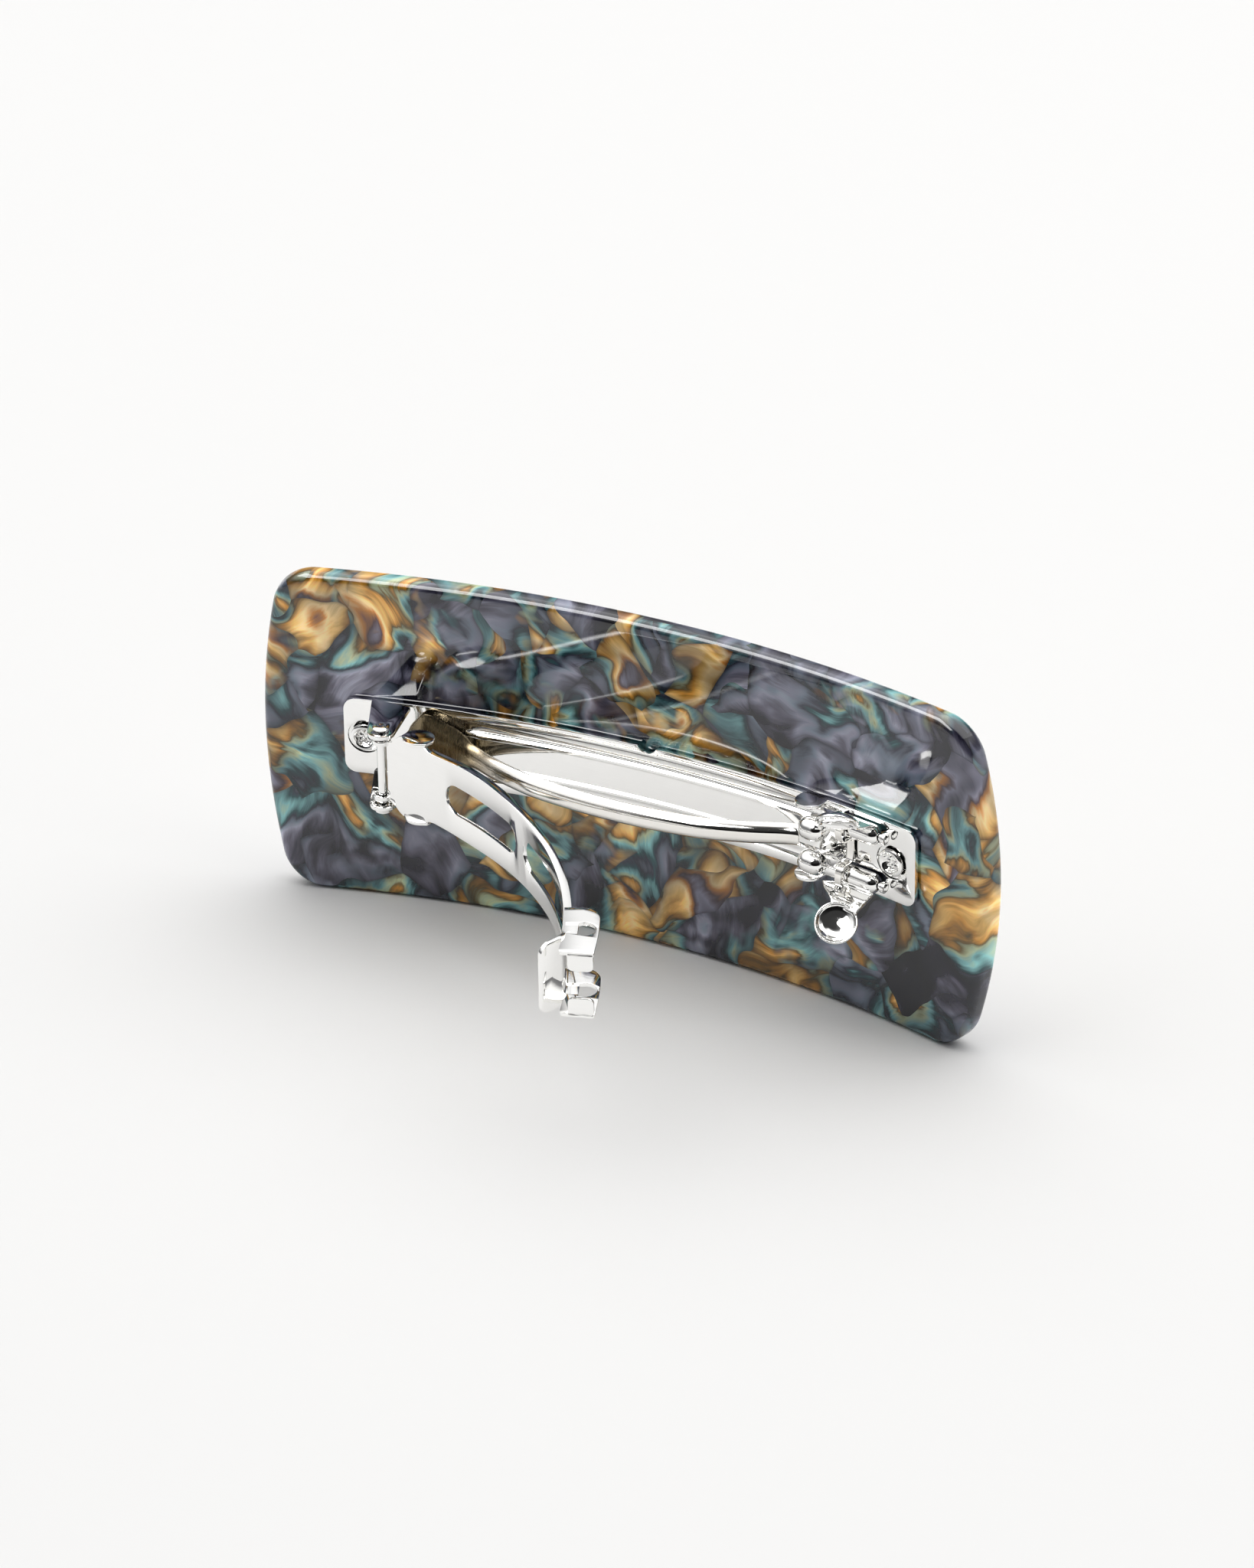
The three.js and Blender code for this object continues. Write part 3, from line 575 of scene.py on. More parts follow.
def on_lipped_arm(s, y, v):
    """Point of the arm's sheet, whose end is folded out into the finger lip."""
    v = arm_side(s, v)
    past = s - LIP_START
    if past <= 0:
        return on_arm(s, y, v)
    turn = min(past / LIP_BEND, LIP_TURN)
    straight = max(0.0, past - LIP_BEND * LIP_TURN)
    reach = LIP_BEND - y
    ahead = reach * math.sin(turn) + straight * math.cos(turn)
    out = LIP_BEND - reach * math.cos(turn) + straight * math.sin(turn)
    here = on_arm(LIP_START, 0, v)
    onwards = (on_arm(LIP_START + 0.01, 0, v) - here).normalized()
    outwards = (on_arm(LIP_START, 1, v) - here).normalized()
    return here + onwards * ahead + outwards * out


def rounded_slot(low, high):
    slot = block("slot", (low, -3, -SLOT_HALF), (high, 3, SLOT_HALF))
    round_edges(slot, lambda e: abs(e.verts[0].co.y - e.verts[1].co.y) > 1, SLOT_HALF * 0.995, 14)
    return slot


class BARRETTE_OT_arm(bpy.types.Operator):
    """Slotted clamp arm with folded sides, catch cheeks and a finger lip"""
    bl_idname = "barrette.arm"
    bl_label = "Clamp arm"

    def execute(self, context):
        start, end = 0.35, LIP_START + LIP_BEND * LIP_TURN + LIP_REACH
        sheet = block("arm", (start, -0.5, -ARM_FLAT_HALF), (end, 0, ARM_FLAT_HALF))
        round_edges(sheet, lambda e: all(v.co.x > end - 1 for v in e.verts)
                    and abs(e.verts[0].co.y - e.verts[1].co.y) > 0.3, 1.5, 8)
        self.fold_sides(sheet)
        cut(sheet, [rounded_slot(*slot) for slot in SLOTS])
        round_edges(sheet, lambda e: all(v.co.y > -1e-4 and abs(v.co.z) > ARM_FLAT_HALF - 1e-3 for v in e.verts),
                    0.22, 3)
        break_edges(sheet, 0.09)
        slice_up(sheet, "x", inner(start, 9, 0.4) + inner(9, LIP_START, 1.1)
                 + inner(LIP_START, LIP_START + 1.3, 0.15))
        lay(sheet, on_lipped_arm)
        parts = [sheet]
        for side in (1, -1):
            parts += [self.cheek(side), self.front_tab(side), self.lobe(side), self.eye(side)]
        arm = join("arm", parts)
        face_out(arm)
        smooth(arm, 32)
        put_on(arm, "arm", "clamp_arm", nickel())
        return {"FINISHED"}

    def fold_sides(self, sheet):
        """Turns the long sides down, past the shoulders."""
        fold_start, fold_end, fold_line = 7.2, LIP_START - 0.3, ARM_FLAT_HALF - ARM_WALL

        def on_the_fold(face):
            middle = face.calc_center_median()
            return face.normal.y < -0.5 and abs(middle.z) > fold_line and fold_start < middle.x < fold_end

        slice_up(sheet, "z", (fold_line, -fold_line))
        slice_up(sheet, "x", (fold_start, fold_end))
        edit(sheet)
        pick(sheet, "FACE", on_the_fold)
        bpy.ops.mesh.extrude_region_move(TRANSFORM_OT_translate={"value": (0, -0.5, 0)})
        leave()

    def cheek(self, side):
        """Side of the arm's free end, with the hole that the catch nose springs into."""
        low, high = sorted((side * 3.95, side * 4.45))
        start, end = 50.2, 60.6
        cheek = block("cheek", (start, -4.4, low), (end, -0.15, high))
        round_edges(cheek, lambda e: all(v.co.x < 51 and v.co.y < -4 for v in e.verts), 2.6, 8)
        round_edges(cheek, lambda e: all(v.co.x > 60 and v.co.y > -0.4 for v in e.verts), 0.5, 4)
        hole = disc("hole", 1.5, low - 1, high + 1, (55.2, -2.6, 0), "Z", 40)
        edit(hole)
        bpy.ops.mesh.select_all(action="SELECT")
        bpy.ops.mesh.bisect(plane_co=(0, -1.9, 0), plane_no=(0, 1, 0), clear_outer=True, use_fill=True)
        leave()
        cut(cheek, [hole])
        break_edges(cheek, 0.08)
        slice_up(cheek, "x", inner(start, end, 0.9))
        return lay(cheek, on_arm)

    def front_tab(self, side):
        """Tab turned in across the catch end."""
        low, high = sorted((side * 1.85, side * 4.3))
        tab = block("tab", (60.15, -4.35, low), (60.6, -1.2, high))
        round_edges(tab, lambda e: all(abs(v.co.z) < 2 for v in e.verts)
                    and abs(e.verts[0].co.x - e.verts[1].co.x) > 0.2, 0.7, 5)
        break_edges(tab, 0.08)
        return lay(tab, on_arm)

    def lobe(self, side):
        """Side lobe under a shoulder, which bears on the fan of the bow."""
        low, high = sorted((side * 5.3, side * 5.8))
        lobe = hull("lobe", [
            disc("lobe", 2.0, low, high, (4.7, -1.1, 0), "Z", 40),
            block("root", (2.7, -0.4, low), (6.7, -0.1, high)),
        ])
        break_edges(lobe, 0.1)
        return lay(lobe, on_arm)

    def eye(self, side):
        """Eye of the arm, turned round the hinge pin."""
        low, high = sorted((side * 3.6, side * 4.25))
        eye = disc("eye", 1.2, low, high, (0, 0, 0), "Z", 40)
        cut(eye, [disc("bore", 0.78, low - 1, high + 1, (0, 0, 0), "Z", 32)])
        break_edges(eye, 0.08)
        return lay(eye, lambda x, y, z: HINGE_AXIS + Vector((x, y, z)))


# ---- Tension bow ----
BOW_ROUTE = [
    (-32.2, 3.2), (-30.0, 3.1), (-27.0, 3.0), (-24.6, 3.1), (-22.6, 3.7), (-19.0, 5.8), (-11.4, 8.6), (0.3, 9.8),
    (11.2, 8.7), (18.0, 6.3), (22.9, 3.7), (24.1, 3.3),
]
BOW_WIDTHS = [
    (-32.2, 1.0), (-31.8, 1.75), (-30.6, 3.3), (-29.4, 4.9), (-28.9, 5.1), (-28.0, 4.9), (-27.0, 4.3), (-25.5, 3.7),
    (-24.5, 3.1), (-23.7, 2.4), (-23.0, 1.8), (-22.0, 1.6), (-21.0, 1.55), (24.1, 1.55),
]
BOW_FAN, BOW_HALF, BOW_SHEET = 5.1, 1.55, 0.4


def on_bow(u, y, k):
    """Point of the bow at length u, y from -1 at its inner face to 0 at its outer one, k from -1 to 1 across."""
    height, rate = curve_table(BOW_ROUTE, u)
    width = along_table(BOW_WIDTHS, u)
    widening = min(1.0, max(0.0, (width - BOW_HALF) / (BOW_FAN - BOW_HALF)))
    camber = 1.05 * min(width / BOW_HALF, 1) * (1 - 0.35 * widening)
    flat_middle = max(0.0, abs(k) - 0.22) / 0.78
    out = -camber * flat_middle**2 + y * BOW_SHEET
    side = k * (width + y * 0.25)
    middle = on_base(u, height, side)
    ahead = on_base(u + 0.01, height + rate * 0.01, side) - middle
    normal = Vector((ahead.y, -ahead.x, 0)).normalized()
    return middle + normal * out


class BARRETTE_OT_bow(bpy.types.Operator):
    """Arched tension bow, a channel of spring steel flared to a fan at the hinge"""
    bl_idname = "barrette.bow"
    bl_label = "Tension bow"

    def execute(self, context):
        low, high = BOW_ROUTE[0][0], BOW_ROUTE[-1][0]
        bow = block("bow", (low, -1, -1), (high, 0, 1))
        slice_up(bow, "x", inner(low, -20, 0.35) + inner(-20, high, 0.9))
        slice_up(bow, "z", [side * k for k in (0.12, 0.22, 0.32, 0.45, 0.58, 0.7, 0.8, 0.9) for side in (1, -1)])
        lay(bow, on_bow)
        face_out(bow)
        break_edges(bow, 0.09 * MM, 55)
        smooth(bow, 38)
        put_on(bow, "root", "tension_bow", spring_steel())
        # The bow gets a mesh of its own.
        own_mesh(bow)
        return {"FINISHED"}


# ---- Clasp ----
PADDLE = {"at": (2.27, 7.06, 7.2), "radius": 2.72, "tilt": math.radians(48.9), "turn": math.radians(21.3)}
NECK = [
    (4.1, 1.6, -0.6, 4.2), (4.7, 2.1, -0.9, 4.3), (5.1, 2.8, -3.1, 4.2), (5.3, 3.6, -2.3, 4.2),
    (5.5, 4.3, -1.1, 4.2), (5.75, 4.9, -0.2, 4.1), (6.05, 5.4, 0.2, 4.0),
]
BRIDGE = [(3.8, 2.75, -3.4, 0.6), (3.2, 2.95, -3.4, 0.6), (2.5, 2.85, -3.4, 0.6)]


def path_strip(name, stations, sheet, finer, place):
    """Strip of sheet bent along stations (side, height, from, to) across the base."""
    last = len(stations) - 1
    strip = block(name, (0, -0.5, 0), (1, 0.5, last))
    slice_up(strip, "z", inner(0, last, finer))
    slice_up(strip, "x", inner(0, 1, 0.1))
    columns = [[(i, row[j]) for i, row in enumerate(stations)] for j in range(4)]

    def bent(x, y, t):
        (v, dv), (h, dh) = curve_table(columns[0], t), curve_table(columns[1], t)
        low, high = along_table(columns[2], t), along_table(columns[3], t)
        rise = Vector((-dh, dv)).normalized() * (y * sheet)
        return place(low + (high - low) * x, h + rise.y, v + rise.x)

    lay(strip, bent)
    face_out(strip)
    return strip


def capsule(name, radius, half, sides, place):
    """Round bar with rounded ends."""
    rings = [(radius * math.cos(a), half - radius + radius * math.sin(a)) for a in between(0, math.pi / 2, 8)]
    rings[-1] = (0.01, half)
    return turned(name, [(r, -y) for r, y in reversed(rings)] + rings, sides, place)


class BARRETTE_OT_levers(bpy.types.Operator):
    """Two squeeze levers with dished paddles and round catch noses"""
    bl_idname = "barrette.levers"
    bl_label = "Clasp levers"

    def execute(self, context):
        for name, side in (("upper", 1), ("lower", -1)):
            lever = self.lever(side)
            lever.name = lever.data.name = "lever_" + name
            put_on(lever, "lever_" + name, "clasp_lever_" + name, nickel())
        return {"FINISHED"}

    def lever(self, side):
        """One lever, its parts melted together and then bored for its pin."""
        def place(x, y, z):
            return at_clasp(x, y, side * z)

        def about_pin(x, y, z):
            return place(y, LEVER_PIN_RISE + x, LEVER_PIN_SIDE + z)

        barrel = capsule("barrel", 1.35, 3.0, 40, lambda x, y, z: about_pin(x, y + 2.0, z))
        nose = capsule("nose", 1.5, 1.95, 40, lambda x, y, z: place(y - 4.1, 3.6 + x, 2.35 + z))
        neck = path_strip("neck", NECK, 0.5, 0.2, place)
        bridge = path_strip("bridge", BRIDGE, 0.5, 0.25, place)
        lever = join("lever", [barrel, nose, neck, bridge, self.paddle(place)])
        finish_with(lever, "REMESH", mode="VOXEL", voxel_size=0.085 * MM, use_smooth_shade=True)
        finish_with(lever, "SMOOTH", factor=0.5, iterations=10)
        cut(lever, [turned("bore", [(0.56, -3), (0.56, 9)], 28, about_pin)])
        smooth(lever, 40)
        return lever

    def paddle(self, place):
        """Round dish, its hollow turned out and in towards the other lever."""
        r = PADDLE["radius"]
        dish = [
            (0.01, -0.8), (r * 0.4, -0.76), (r * 0.7, -0.58), (r * 0.9, -0.25), (r, 0.08), (r + 0.02, 0.28),
            (r - 0.14, 0.4), (r - 0.3, 0.28), (r - 0.45, 0.02), (r * 0.62, -0.22), (r * 0.35, -0.34), (0.01, -0.38),
        ]
        flat = math.cos(PADDLE["turn"])
        out = Vector((math.sin(PADDLE["turn"]), flat * math.cos(PADDLE["tilt"]), -flat * math.sin(PADDLE["tilt"])))
        lean = Vector((0, 1, 0)).rotation_difference(out).to_matrix()
        middle = Vector(PADDLE["at"])
        return turned("paddle", dish, 56, lambda x, y, z: place(*(middle + lean @ Vector((x, y, z)))))


class BARRETTE_OT_leaf(bpy.types.Operator):
    """Leaf spring that curls over both barrels and spreads the levers"""
    bl_idname = "barrette.leaf"
    bl_label = "Clasp spring"

    def execute(self, context):
        half = [
            (0.9, 1.38), (1.5, 1.5), (1.72, 1.9), (1.72, 2.8), (1.9, 3.4), (2.5, 3.75), (3.3, 3.85), (4.0, 3.7),
            (4.4, 3.3),
        ]
        stations = [(-v, h) for v, h in reversed(half)] + [(0, 1.35)] + half
        leaf = path_strip("leaf_spring", [(v, h, -0.4, 0.6) for v, h in stations], 0.25, 0.25, at_clasp)
        break_edges(leaf, 0.05 * MM, 60)
        smooth(leaf, 40)
        put_on(leaf, "root", "clasp_spring", spring_steel())
        return {"FINISHED"}


# ---- Finishes ----
class Wire:
    """A shader value: sums and products of wires and numbers add the Math nodes for them."""

    def __init__(self, tree, socket):
        self.tree = tree
        self.socket = socket

    def math(self, operation, *others, swap=False):
        values = (*others, self) if swap else (self, *others)
        node = new_node(self.tree, "ShaderNodeMath", {"operation": operation}, *values)
        return out_of(self.tree, node, "Value")

    def __add__(self, other):
        return self.math("ADD", other)

    def __radd__(self, other):
        return self.math("ADD", other)

    def __sub__(self, other):
        return self.math("SUBTRACT", other)

    def __rsub__(self, other):
        return self.math("SUBTRACT", other, swap=True)

    def __mul__(self, other):
        return self.math("MULTIPLY", other)

    def __rmul__(self, other):
        return self.math("MULTIPLY", other)

    def sine(self):
        return self.math("SINE")

    def cosine(self):
        return self.math("COSINE")


def connect(tree, socket, value):
    """Links a wire to a socket, or sets the socket to a value."""
    if isinstance(value, Wire):
        tree.links.new(value.socket, socket)
    else:
        socket.default_value = value


def new_node(tree, kind, settings=None, *in_order, **by_name):
    """A node: its settings, then the values or links of its sockets, in order or by name with _ for a space."""
    node = tree.nodes.new(kind)
    for key, value in (settings or {}).items():
        if key == "stops":
            shape_ramp(node.color_ramp, value)
        else:
            setattr(node, key, value)
    for socket, value in zip(node.inputs, in_order):
        connect(tree, socket, value)
    for key, value in by_name.items():
        connect(tree, node.inputs[key.replace("_", " ")], value)
    return node


def shape_ramp(color_ramp, stops):
    """Gives a ramp its stops of (place, colour)."""
    while len(color_ramp.elements) > 1:
        color_ramp.elements.remove(color_ramp.elements[-1])
    color_ramp.elements[0].position = stops[0][0]
    color_ramp.elements[0].color = (*stops[0][1], 1)
    for position, color in stops[1:]:
        color_ramp.elements.new(position).color = (*color, 1)


def out_of(tree, node, name):
    return Wire(tree, node.outputs[name])


def split(tree, kind, value):
    """The parts of a colour or a place."""
    node = new_node(tree, kind, None, value)
    return [Wire(tree, socket) for socket in node.outputs]


def blank(name):
    """A material, with its node tree and shader if it is new, and with None for both if it is already made."""
    made = bpy.data.materials.get(name)
    if made:
        return made, None, None
    material = bpy.data.materials.new(name)
    material.use_nodes = True
    tree = material.node_tree
    return material, tree, tree.nodes["Principled BSDF"]


def mix_color(tree, factor, first, second, blend="MIX"):
    """Colour mixed from two, each a wire or three numbers."""
    node = new_node(tree, "ShaderNodeMix", {"data_type": "RGBA", "blend_type": blend}, Factor=factor)
    for name, value in (("A", first), ("B", second)):
        socket = next(s for s in node.inputs if s.name == name and s.type == "RGBA")
        connect(tree, socket, value if isinstance(value, Wire) else (*value, 1))
    return Wire(tree, next(s for s in node.outputs if s.type == "RGBA"))


# Colours of the flakes by tone: navy and smoke, teal, amber, and smoke again.
FLAKE_COLORS = [
    (0.0, (0.008, 0.008, 0.016)), (0.13, (0.016, 0.015, 0.030)), (0.20, (0.11, 0.105, 0.15)),
    (0.28, (0.30, 0.31, 0.40)), (0.34, (0.17, 0.21, 0.27)), (0.39, (0.022, 0.025, 0.045)),
    (0.43, (0.015, 0.065, 0.075)), (0.485, (0.20, 0.45, 0.46)), (0.53, (0.42, 0.48, 0.30)),
    (0.56, (0.12, 0.08, 0.02)), (0.60, (0.55, 0.25, 0.035)), (0.66, (0.92, 0.56, 0.16)),
    (0.72, (0.95, 0.70, 0.34)), (0.77, (0.48, 0.19, 0.03)), (0.82, (0.06, 0.03, 0.035)),
    (0.90, (0.20, 0.20, 0.27)), (1.0, (0.03, 0.03, 0.05)),
]
FLAKE_RIM = [(0.0, (0.22, 0.22, 0.25)), (0.035, (0.5, 0.5, 0.53)), (0.16, (0.88, 0.88, 0.9)), (0.3, (1, 1, 1))]
PEARL = [(0.0, (0.25, 0.25, 0.27)), (0.36, (0.6, 0.6, 0.62)), (0.50, (1.05, 1.05, 1.05)), (0.68, (2.2, 2.15, 2.05))]


def flakes(tree, place, size, drift):
    """One layer of flakes: each has its own tone and its own run of pearly streaks. Gives its colour and chance."""
    cells = new_node(tree, "ShaderNodeTexVoronoi", {"feature": "F1"}, Vector=place, Scale=1 / size)
    edges = new_node(tree, "ShaderNodeTexVoronoi", {"feature": "DISTANCE_TO_EDGE"}, Vector=place, Scale=1 / size)
    first, second, third = split(tree, "ShaderNodeSeparateColor", out_of(tree, cells, "Color"))
    x, _, z = split(tree, "ShaderNodeSeparateXYZ", place)
    angle = second * (2 * math.pi)
    stretched = new_node(tree, "ShaderNodeCombineXYZ", X=(x * angle.cosine() + z * angle.sine()) * 55.0,
                         Y=(z * angle.cosine() - x * angle.sine()) * 260.0, Z=third * 20.0)
    streak_node = new_node(tree, "ShaderNodeTexNoise", Vector=out_of(tree, stretched, "Vector"), Scale=1.0,
                           Detail=5.0, Roughness=0.55, Distortion=0.4)
    streak = out_of(tree, streak_node, "Fac")
    cloud_node = new_node(tree, "ShaderNodeTexNoise", {"noise_dimensions": "4D"}, Vector=place, Scale=105.0, W=drift,
                          Detail=1.5, Roughness=0.5)
    cloud = out_of(tree, cloud_node, "Fac")
    tone = first * 0.52 + 0.25 + (cloud - 0.5) * 1.5 + (streak - 0.5) * 0.42
    flake = new_node(tree, "ShaderNodeValToRGB", {"stops": FLAKE_COLORS}, Fac=tone)
    rim = new_node(tree, "ShaderNodeValToRGB", {"stops": FLAKE_RIM}, Fac=out_of(tree, edges, "Distance"))
    shaded = mix_color(tree, 1.0, out_of(tree, flake, "Color"), out_of(tree, rim, "Color"), "MULTIPLY")
    pearl = new_node(tree, "ShaderNodeValToRGB", {"stops": PEARL}, Fac=streak)
    return mix_color(tree, 1.0, shaded, out_of(tree, pearl, "Color"), "MULTIPLY"), third


def acetate():
    """Polished acetate: two layers of pearly flakes of navy, smoke, teal and amber."""
    material, tree, shader = blank("acetate_finish")
    if tree is None:
        return material
    settings = bpy.context.scene.barrette_plate
    place = out_of(tree, new_node(tree, "ShaderNodeTexCoord"), "Object")
    deep = warped(tree, place, 70.0, (0.014, 0.006, 0.014))
    near = warped(tree, place, 110.0, (0.009, 0.004, 0.009))
    low, _ = flakes(tree, deep, settings.flake_size, 0.3)
    high, chance = flakes(tree, near, settings.flake_size * 0.8, 4.1)
    patch = new_node(tree, "ShaderNodeTexNoise", Vector=place, Scale=95.0, Detail=3.0, Roughness=0.6)
    cover = new_node(tree, "ShaderNodeValToRGB", {"stops": [(0.0, (0, 0, 0)), (0.50, (0, 0, 0)), (0.56, (1, 1, 1))]},
                     Fac=out_of(tree, patch, "Fac") * 0.55 + chance * 0.45)
    connect(tree, shader.inputs["Base Color"], mix_color(tree, out_of(tree, cover, "Color"), low, high))
    polish = new_node(tree, "ShaderNodeTexNoise", Vector=place, Scale=260.0, Detail=2.0)
    connect(tree, shader.inputs["Roughness"], settings.gloss + out_of(tree, polish, "Fac") * 0.03)
    ripple = new_node(tree, "ShaderNodeTexNoise", Vector=place, Scale=55.0, Detail=1.0)
    bump = new_node(tree, "ShaderNodeBump", Strength=0.05, Distance=0.0004, Height=out_of(tree, ripple, "Fac"))
    connect(tree, shader.inputs["Normal"], out_of(tree, bump, "Normal"))
    shader.inputs["IOR"].default_value = 1.5
    shader.inputs["Specular IOR Level"].default_value = 0.75
    return material


def warped(tree, place, scale, reach):
    """The place, pushed about by noise."""
    noise = new_node(tree, "ShaderNodeTexNoise", Vector=place, Scale=scale, Detail=1.5, Roughness=0.5)
    centred = new_node(tree, "ShaderNodeVectorMath", {"operation": "SUBTRACT"}, out_of(tree, noise, "Color"),
                       (0.5, 0.5, 0.5))
    pushed = new_node(tree, "ShaderNodeVectorMath", {"operation": "MULTIPLY_ADD"}, out_of(tree, centred, "Vector"),
                      reach, place)
    return out_of(tree, pushed, "Vector")


def bright_metal(name, color, roughness, streaks, fan_painted_reflection=None):
    """Bright plated metal: slightly uneven polish, and fine lines along the sheet. Its hinge end may be given a
    painted dark reflection.
    """
    material, tree, shader = blank(name)
    if tree is None:
        return material
    place = out_of(tree, new_node(tree, "ShaderNodeTexCoord"), "Object")
    lines = new_node(tree, "ShaderNodeMapping", Vector=place, Scale=streaks)
    grain = new_node(tree, "ShaderNodeTexNoise", Vector=out_of(tree, lines, "Vector"), Scale=1.0, Detail=3.0)
    cloud = new_node(tree, "ShaderNodeTexNoise", Vector=place, Scale=420.0, Detail=2.0)
    wear = out_of(tree, grain, "Fac") * 0.5 + out_of(tree, cloud, "Fac") * 0.5
    tone = mix_color(tree, wear, [c * 0.93 for c in color], color)
    rough = roughness * 0.5 + wear * roughness
    # Painted reflection: the fan end is darkened to a tan that stands in for its mirror image of the dark plate and
    # the arm's shaded underside; its roughness is raised there too.
    if fan_painted_reflection:
        x, _, _ = split(tree, "ShaderNodeSeparateXYZ", place)
        fan_reflection_reach = new_node(tree, "ShaderNodeMapRange", {"interpolation_type": "SMOOTHSTEP"}, Value=x, From_Min=-0.012,
                        From_Max=-0.023)
        amount = out_of(tree, fan_reflection_reach, "Result")
        tone = mix_color(tree, amount, tone, fan_painted_reflection)
        rough = rough + amount * (out_of(tree, grain, "Fac") * 0.35)
    connect(tree, shader.inputs["Base Color"], tone)
    connect(tree, shader.inputs["Roughness"], rough)
    bump = new_node(tree, "ShaderNodeBump", Strength=0.12, Distance=0.00002, Height=wear)
    connect(tree, shader.inputs["Normal"], out_of(tree, bump, "Normal"))
    shader.inputs["Metallic"].default_value = 1.0
    return material


def nickel():
    """Bright nickel plate."""
    settings = bpy.context.scene.barrette_clip
    return bright_metal("nickel_finish", settings.nickel, settings.roughness, (300, 900, 4000))


def spring_steel():
    """Spring steel, brushed across, with a dark tan reflection painted at the fan where it mirrors the dark plate
    and the arm's shaded underside.
    """
    settings = bpy.context.scene.barrette_clip
    # Painted dark reflection of the fan, in tan.
    dark_fan_reflection = (0.24, 0.19, 0.115)
    return bright_metal("spring_steel_finish", settings.spring, settings.roughness * 1.3, (9000, 2000, 500), dark_fan_reflection)


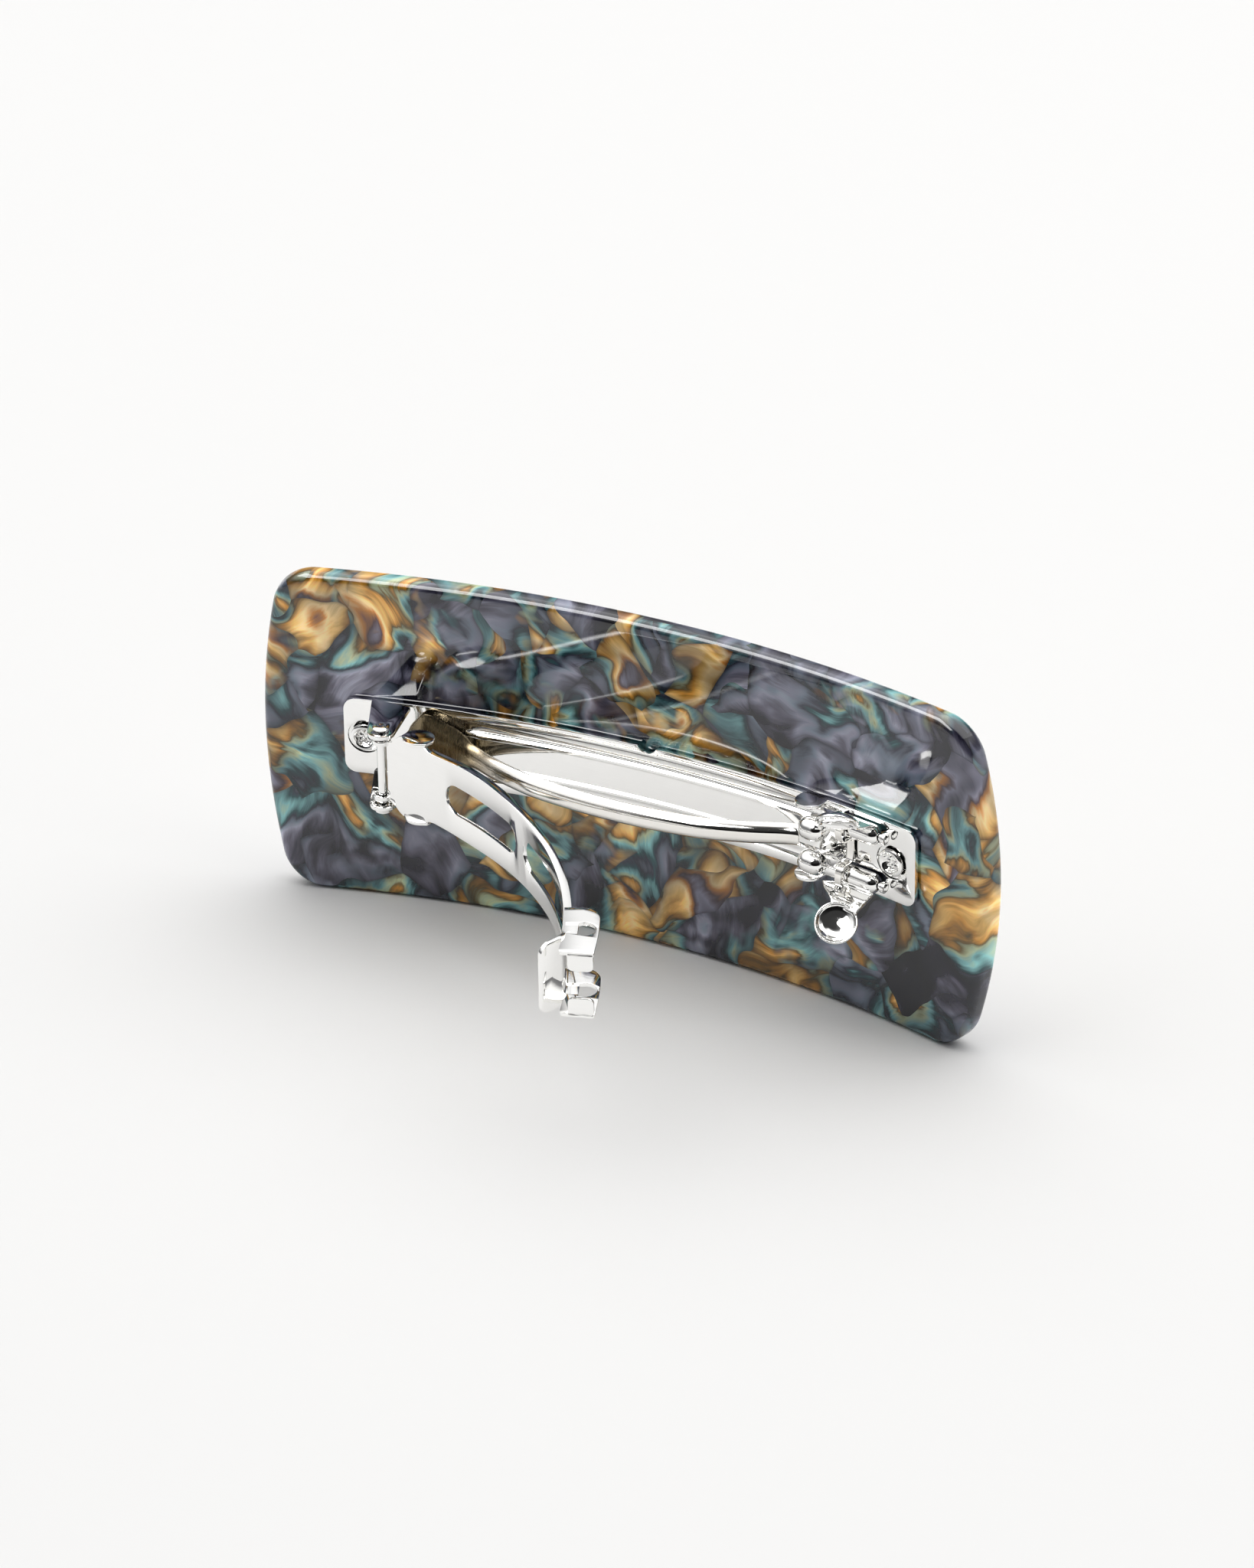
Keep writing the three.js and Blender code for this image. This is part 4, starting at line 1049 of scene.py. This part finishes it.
# ---- Stage ----
class BARRETTE_OT_stage(bpy.types.Operator):
    """Pale floor, soft lights and the camera"""
    bl_idname = "barrette.stage"
    bl_label = "Stage and camera"

    def execute(self, context):
        self.camera(context.scene)
        floor = add(bpy.ops.mesh.primitive_plane_add, "floor", size=6, location=(0, 0, 0))
        floor.data.materials.append(self.floor_finish(context.scene.barrette_stage.floor))
        self.sky(context.scene)
        self.soft_box("key", place=(0.0, 0.30, 1.0), target=(0, 0, 0), width=2.0, depth=1.4, power=7.6)
        glint = self.soft_box("glint", place=(-0.40, -0.32, 0.85), target=(0, 0, 0.04), width=1.2, depth=0.45,
                              power=12.0)
        glint.visible_diffuse = False
        return {"FINISHED"}

    def camera(self, scene):
        """Camera on the middle of the barrette, then moved a little sideways and up."""
        settings = scene.barrette_stage
        az, el, roll = settings.azimuth, settings.elevation, settings.roll
        turn = Matrix.Rotation(az, 3, "Z") @ Matrix.Rotation(math.pi / 2 - el, 3, "X")
        turn = turn @ Matrix.Rotation(roll, 3, "Z")
        target = Vector((0, -3.25, MID_HEIGHT)) * MM
        sideways, upwards = -0.0010008, 0.00087384
        right, up, back = (turn @ Vector(axis) for axis in ((1, 0, 0), (0, 1, 0), (0, 0, 1)))
        bpy.ops.object.select_all(action="DESELECT")
        bpy.ops.object.camera_add()
        camera = bpy.context.object
        camera.data.lens = settings.lens
        camera.data.sensor_width = 36
        camera.data.clip_start = 0.01
        place = target + back * settings.distance + right * sideways + up * upwards
        camera.matrix_world = Matrix.Translation(place) @ turn.to_4x4()
        scene.camera = camera

    def soft_box(self, name, place, target, width, depth, power):
        """Rectangular area light, turned to its target."""
        bpy.ops.object.select_all(action="DESELECT")
        bpy.ops.object.light_add(type="AREA", location=place)
        light = bpy.context.object
        light.name = light.data.name = name
        light.data.shape = "RECTANGLE"
        light.data.size, light.data.size_y = width, depth
        light.data.energy = power
        aim = Vector(target) - Vector(place)
        light.rotation_euler = aim.to_track_quat("-Z", "Y").to_euler()
        return light

    def sky(self, scene):
        """White all round, darker low down in front, so that the bright metal has something to mirror."""
        world = bpy.data.worlds.new("studio")
        scene.world = world
        world.use_nodes = True
        tree = world.node_tree
        place = out_of(tree, new_node(tree, "ShaderNodeTexCoord"), "Generated")
        _, _, height = split(tree, "ShaderNodeSeparateXYZ", place)
        tone = new_node(tree, "ShaderNodeValToRGB", {"stops": [
            (0.0, (0.8, 0.8, 0.8)), (0.06, (0.7, 0.7, 0.7)), (0.12, (0.12, 0.12, 0.125)),
            (0.36, (0.22, 0.22, 0.225)), (0.55, (1.0, 1.0, 1.0)), (1.0, (1.2, 1.2, 1.2)),
        ]}, Fac=height)
        behind = new_node(tree, "ShaderNodeVectorMath", {"operation": "DOT_PRODUCT"}, place, (0.41, -0.78, 0.48))
        dark = new_node(tree, "ShaderNodeValToRGB", {"stops": [
            (0.0, (1, 1, 1)), (0.62, (0.8, 0.8, 0.8)), (0.80, (0.03, 0.03, 0.03)),
        ]}, Fac=out_of(tree, behind, "Value"))
        shade = mix_color(tree, 1.0, out_of(tree, tone, "Color"), out_of(tree, dark, "Color"), "MULTIPLY")
        connect(tree, tree.nodes["Background"].inputs["Color"], shade)
        tree.nodes["Background"].inputs["Strength"].default_value = 1.22
        scene.view_settings.view_transform = "Standard"

    def floor_finish(self, color):
        material, tree, shader = blank("floor_finish")
        if tree is None:
            return material
        grain = new_node(tree, "ShaderNodeTexNoise", Scale=900.0, Detail=2.0)
        tone = mix_color(tree, out_of(tree, grain, "Fac"), [c * 0.995 for c in color], color)
        connect(tree, shader.inputs["Base Color"], tone)
        shader.inputs["Roughness"].default_value = 0.9
        shader.inputs["Specular IOR Level"].default_value = 0.1
        return material


# ---- Add-on ----
class BARRETTE_PT_panel(bpy.types.Panel):
    """Sizes, colours and a button for each piece"""
    bl_idname = "BARRETTE_PT_panel"
    bl_label = "Barrette"
    bl_space_type = "VIEW_3D"
    bl_region_type = "UI"
    bl_category = "Barrette"

    def draw(self, context):
        for group in ("barrette_plate", "barrette_clip", "barrette_stage"):
            settings = getattr(context.scene, group)
            box = self.layout.box()
            for key in settings.__annotations__:
                box.prop(settings, key)
        for piece in PIECES:
            self.layout.operator(piece.bl_idname)


PIECES = (
    BARRETTE_OT_stage, BARRETTE_OT_plate, BARRETTE_OT_base, BARRETTE_OT_fasteners, BARRETTE_OT_arm, BARRETTE_OT_bow,
    BARRETTE_OT_levers, BARRETTE_OT_leaf,
)
SETTINGS = {"barrette_plate": PlateSettings, "barrette_clip": ClipSettings, "barrette_stage": StageSettings}


def register():
    for name, group in SETTINGS.items():
        bpy.utils.register_class(group)
        setattr(bpy.types.Scene, name, bpy.props.PointerProperty(type=group))
    for cls in (*PIECES, BARRETTE_PT_panel):
        bpy.utils.register_class(cls)


def unregister():
    for cls in reversed((*PIECES, BARRETTE_PT_panel)):
        bpy.utils.unregister_class(cls)
    for name, group in SETTINGS.items():
        delattr(bpy.types.Scene, name)
        bpy.utils.unregister_class(group)


def main():
    register()
    for piece in PIECES:
        group, name = piece.bl_idname.split(".")
        getattr(getattr(bpy.ops, group), name)()


if __name__ == "__main__":
    main()
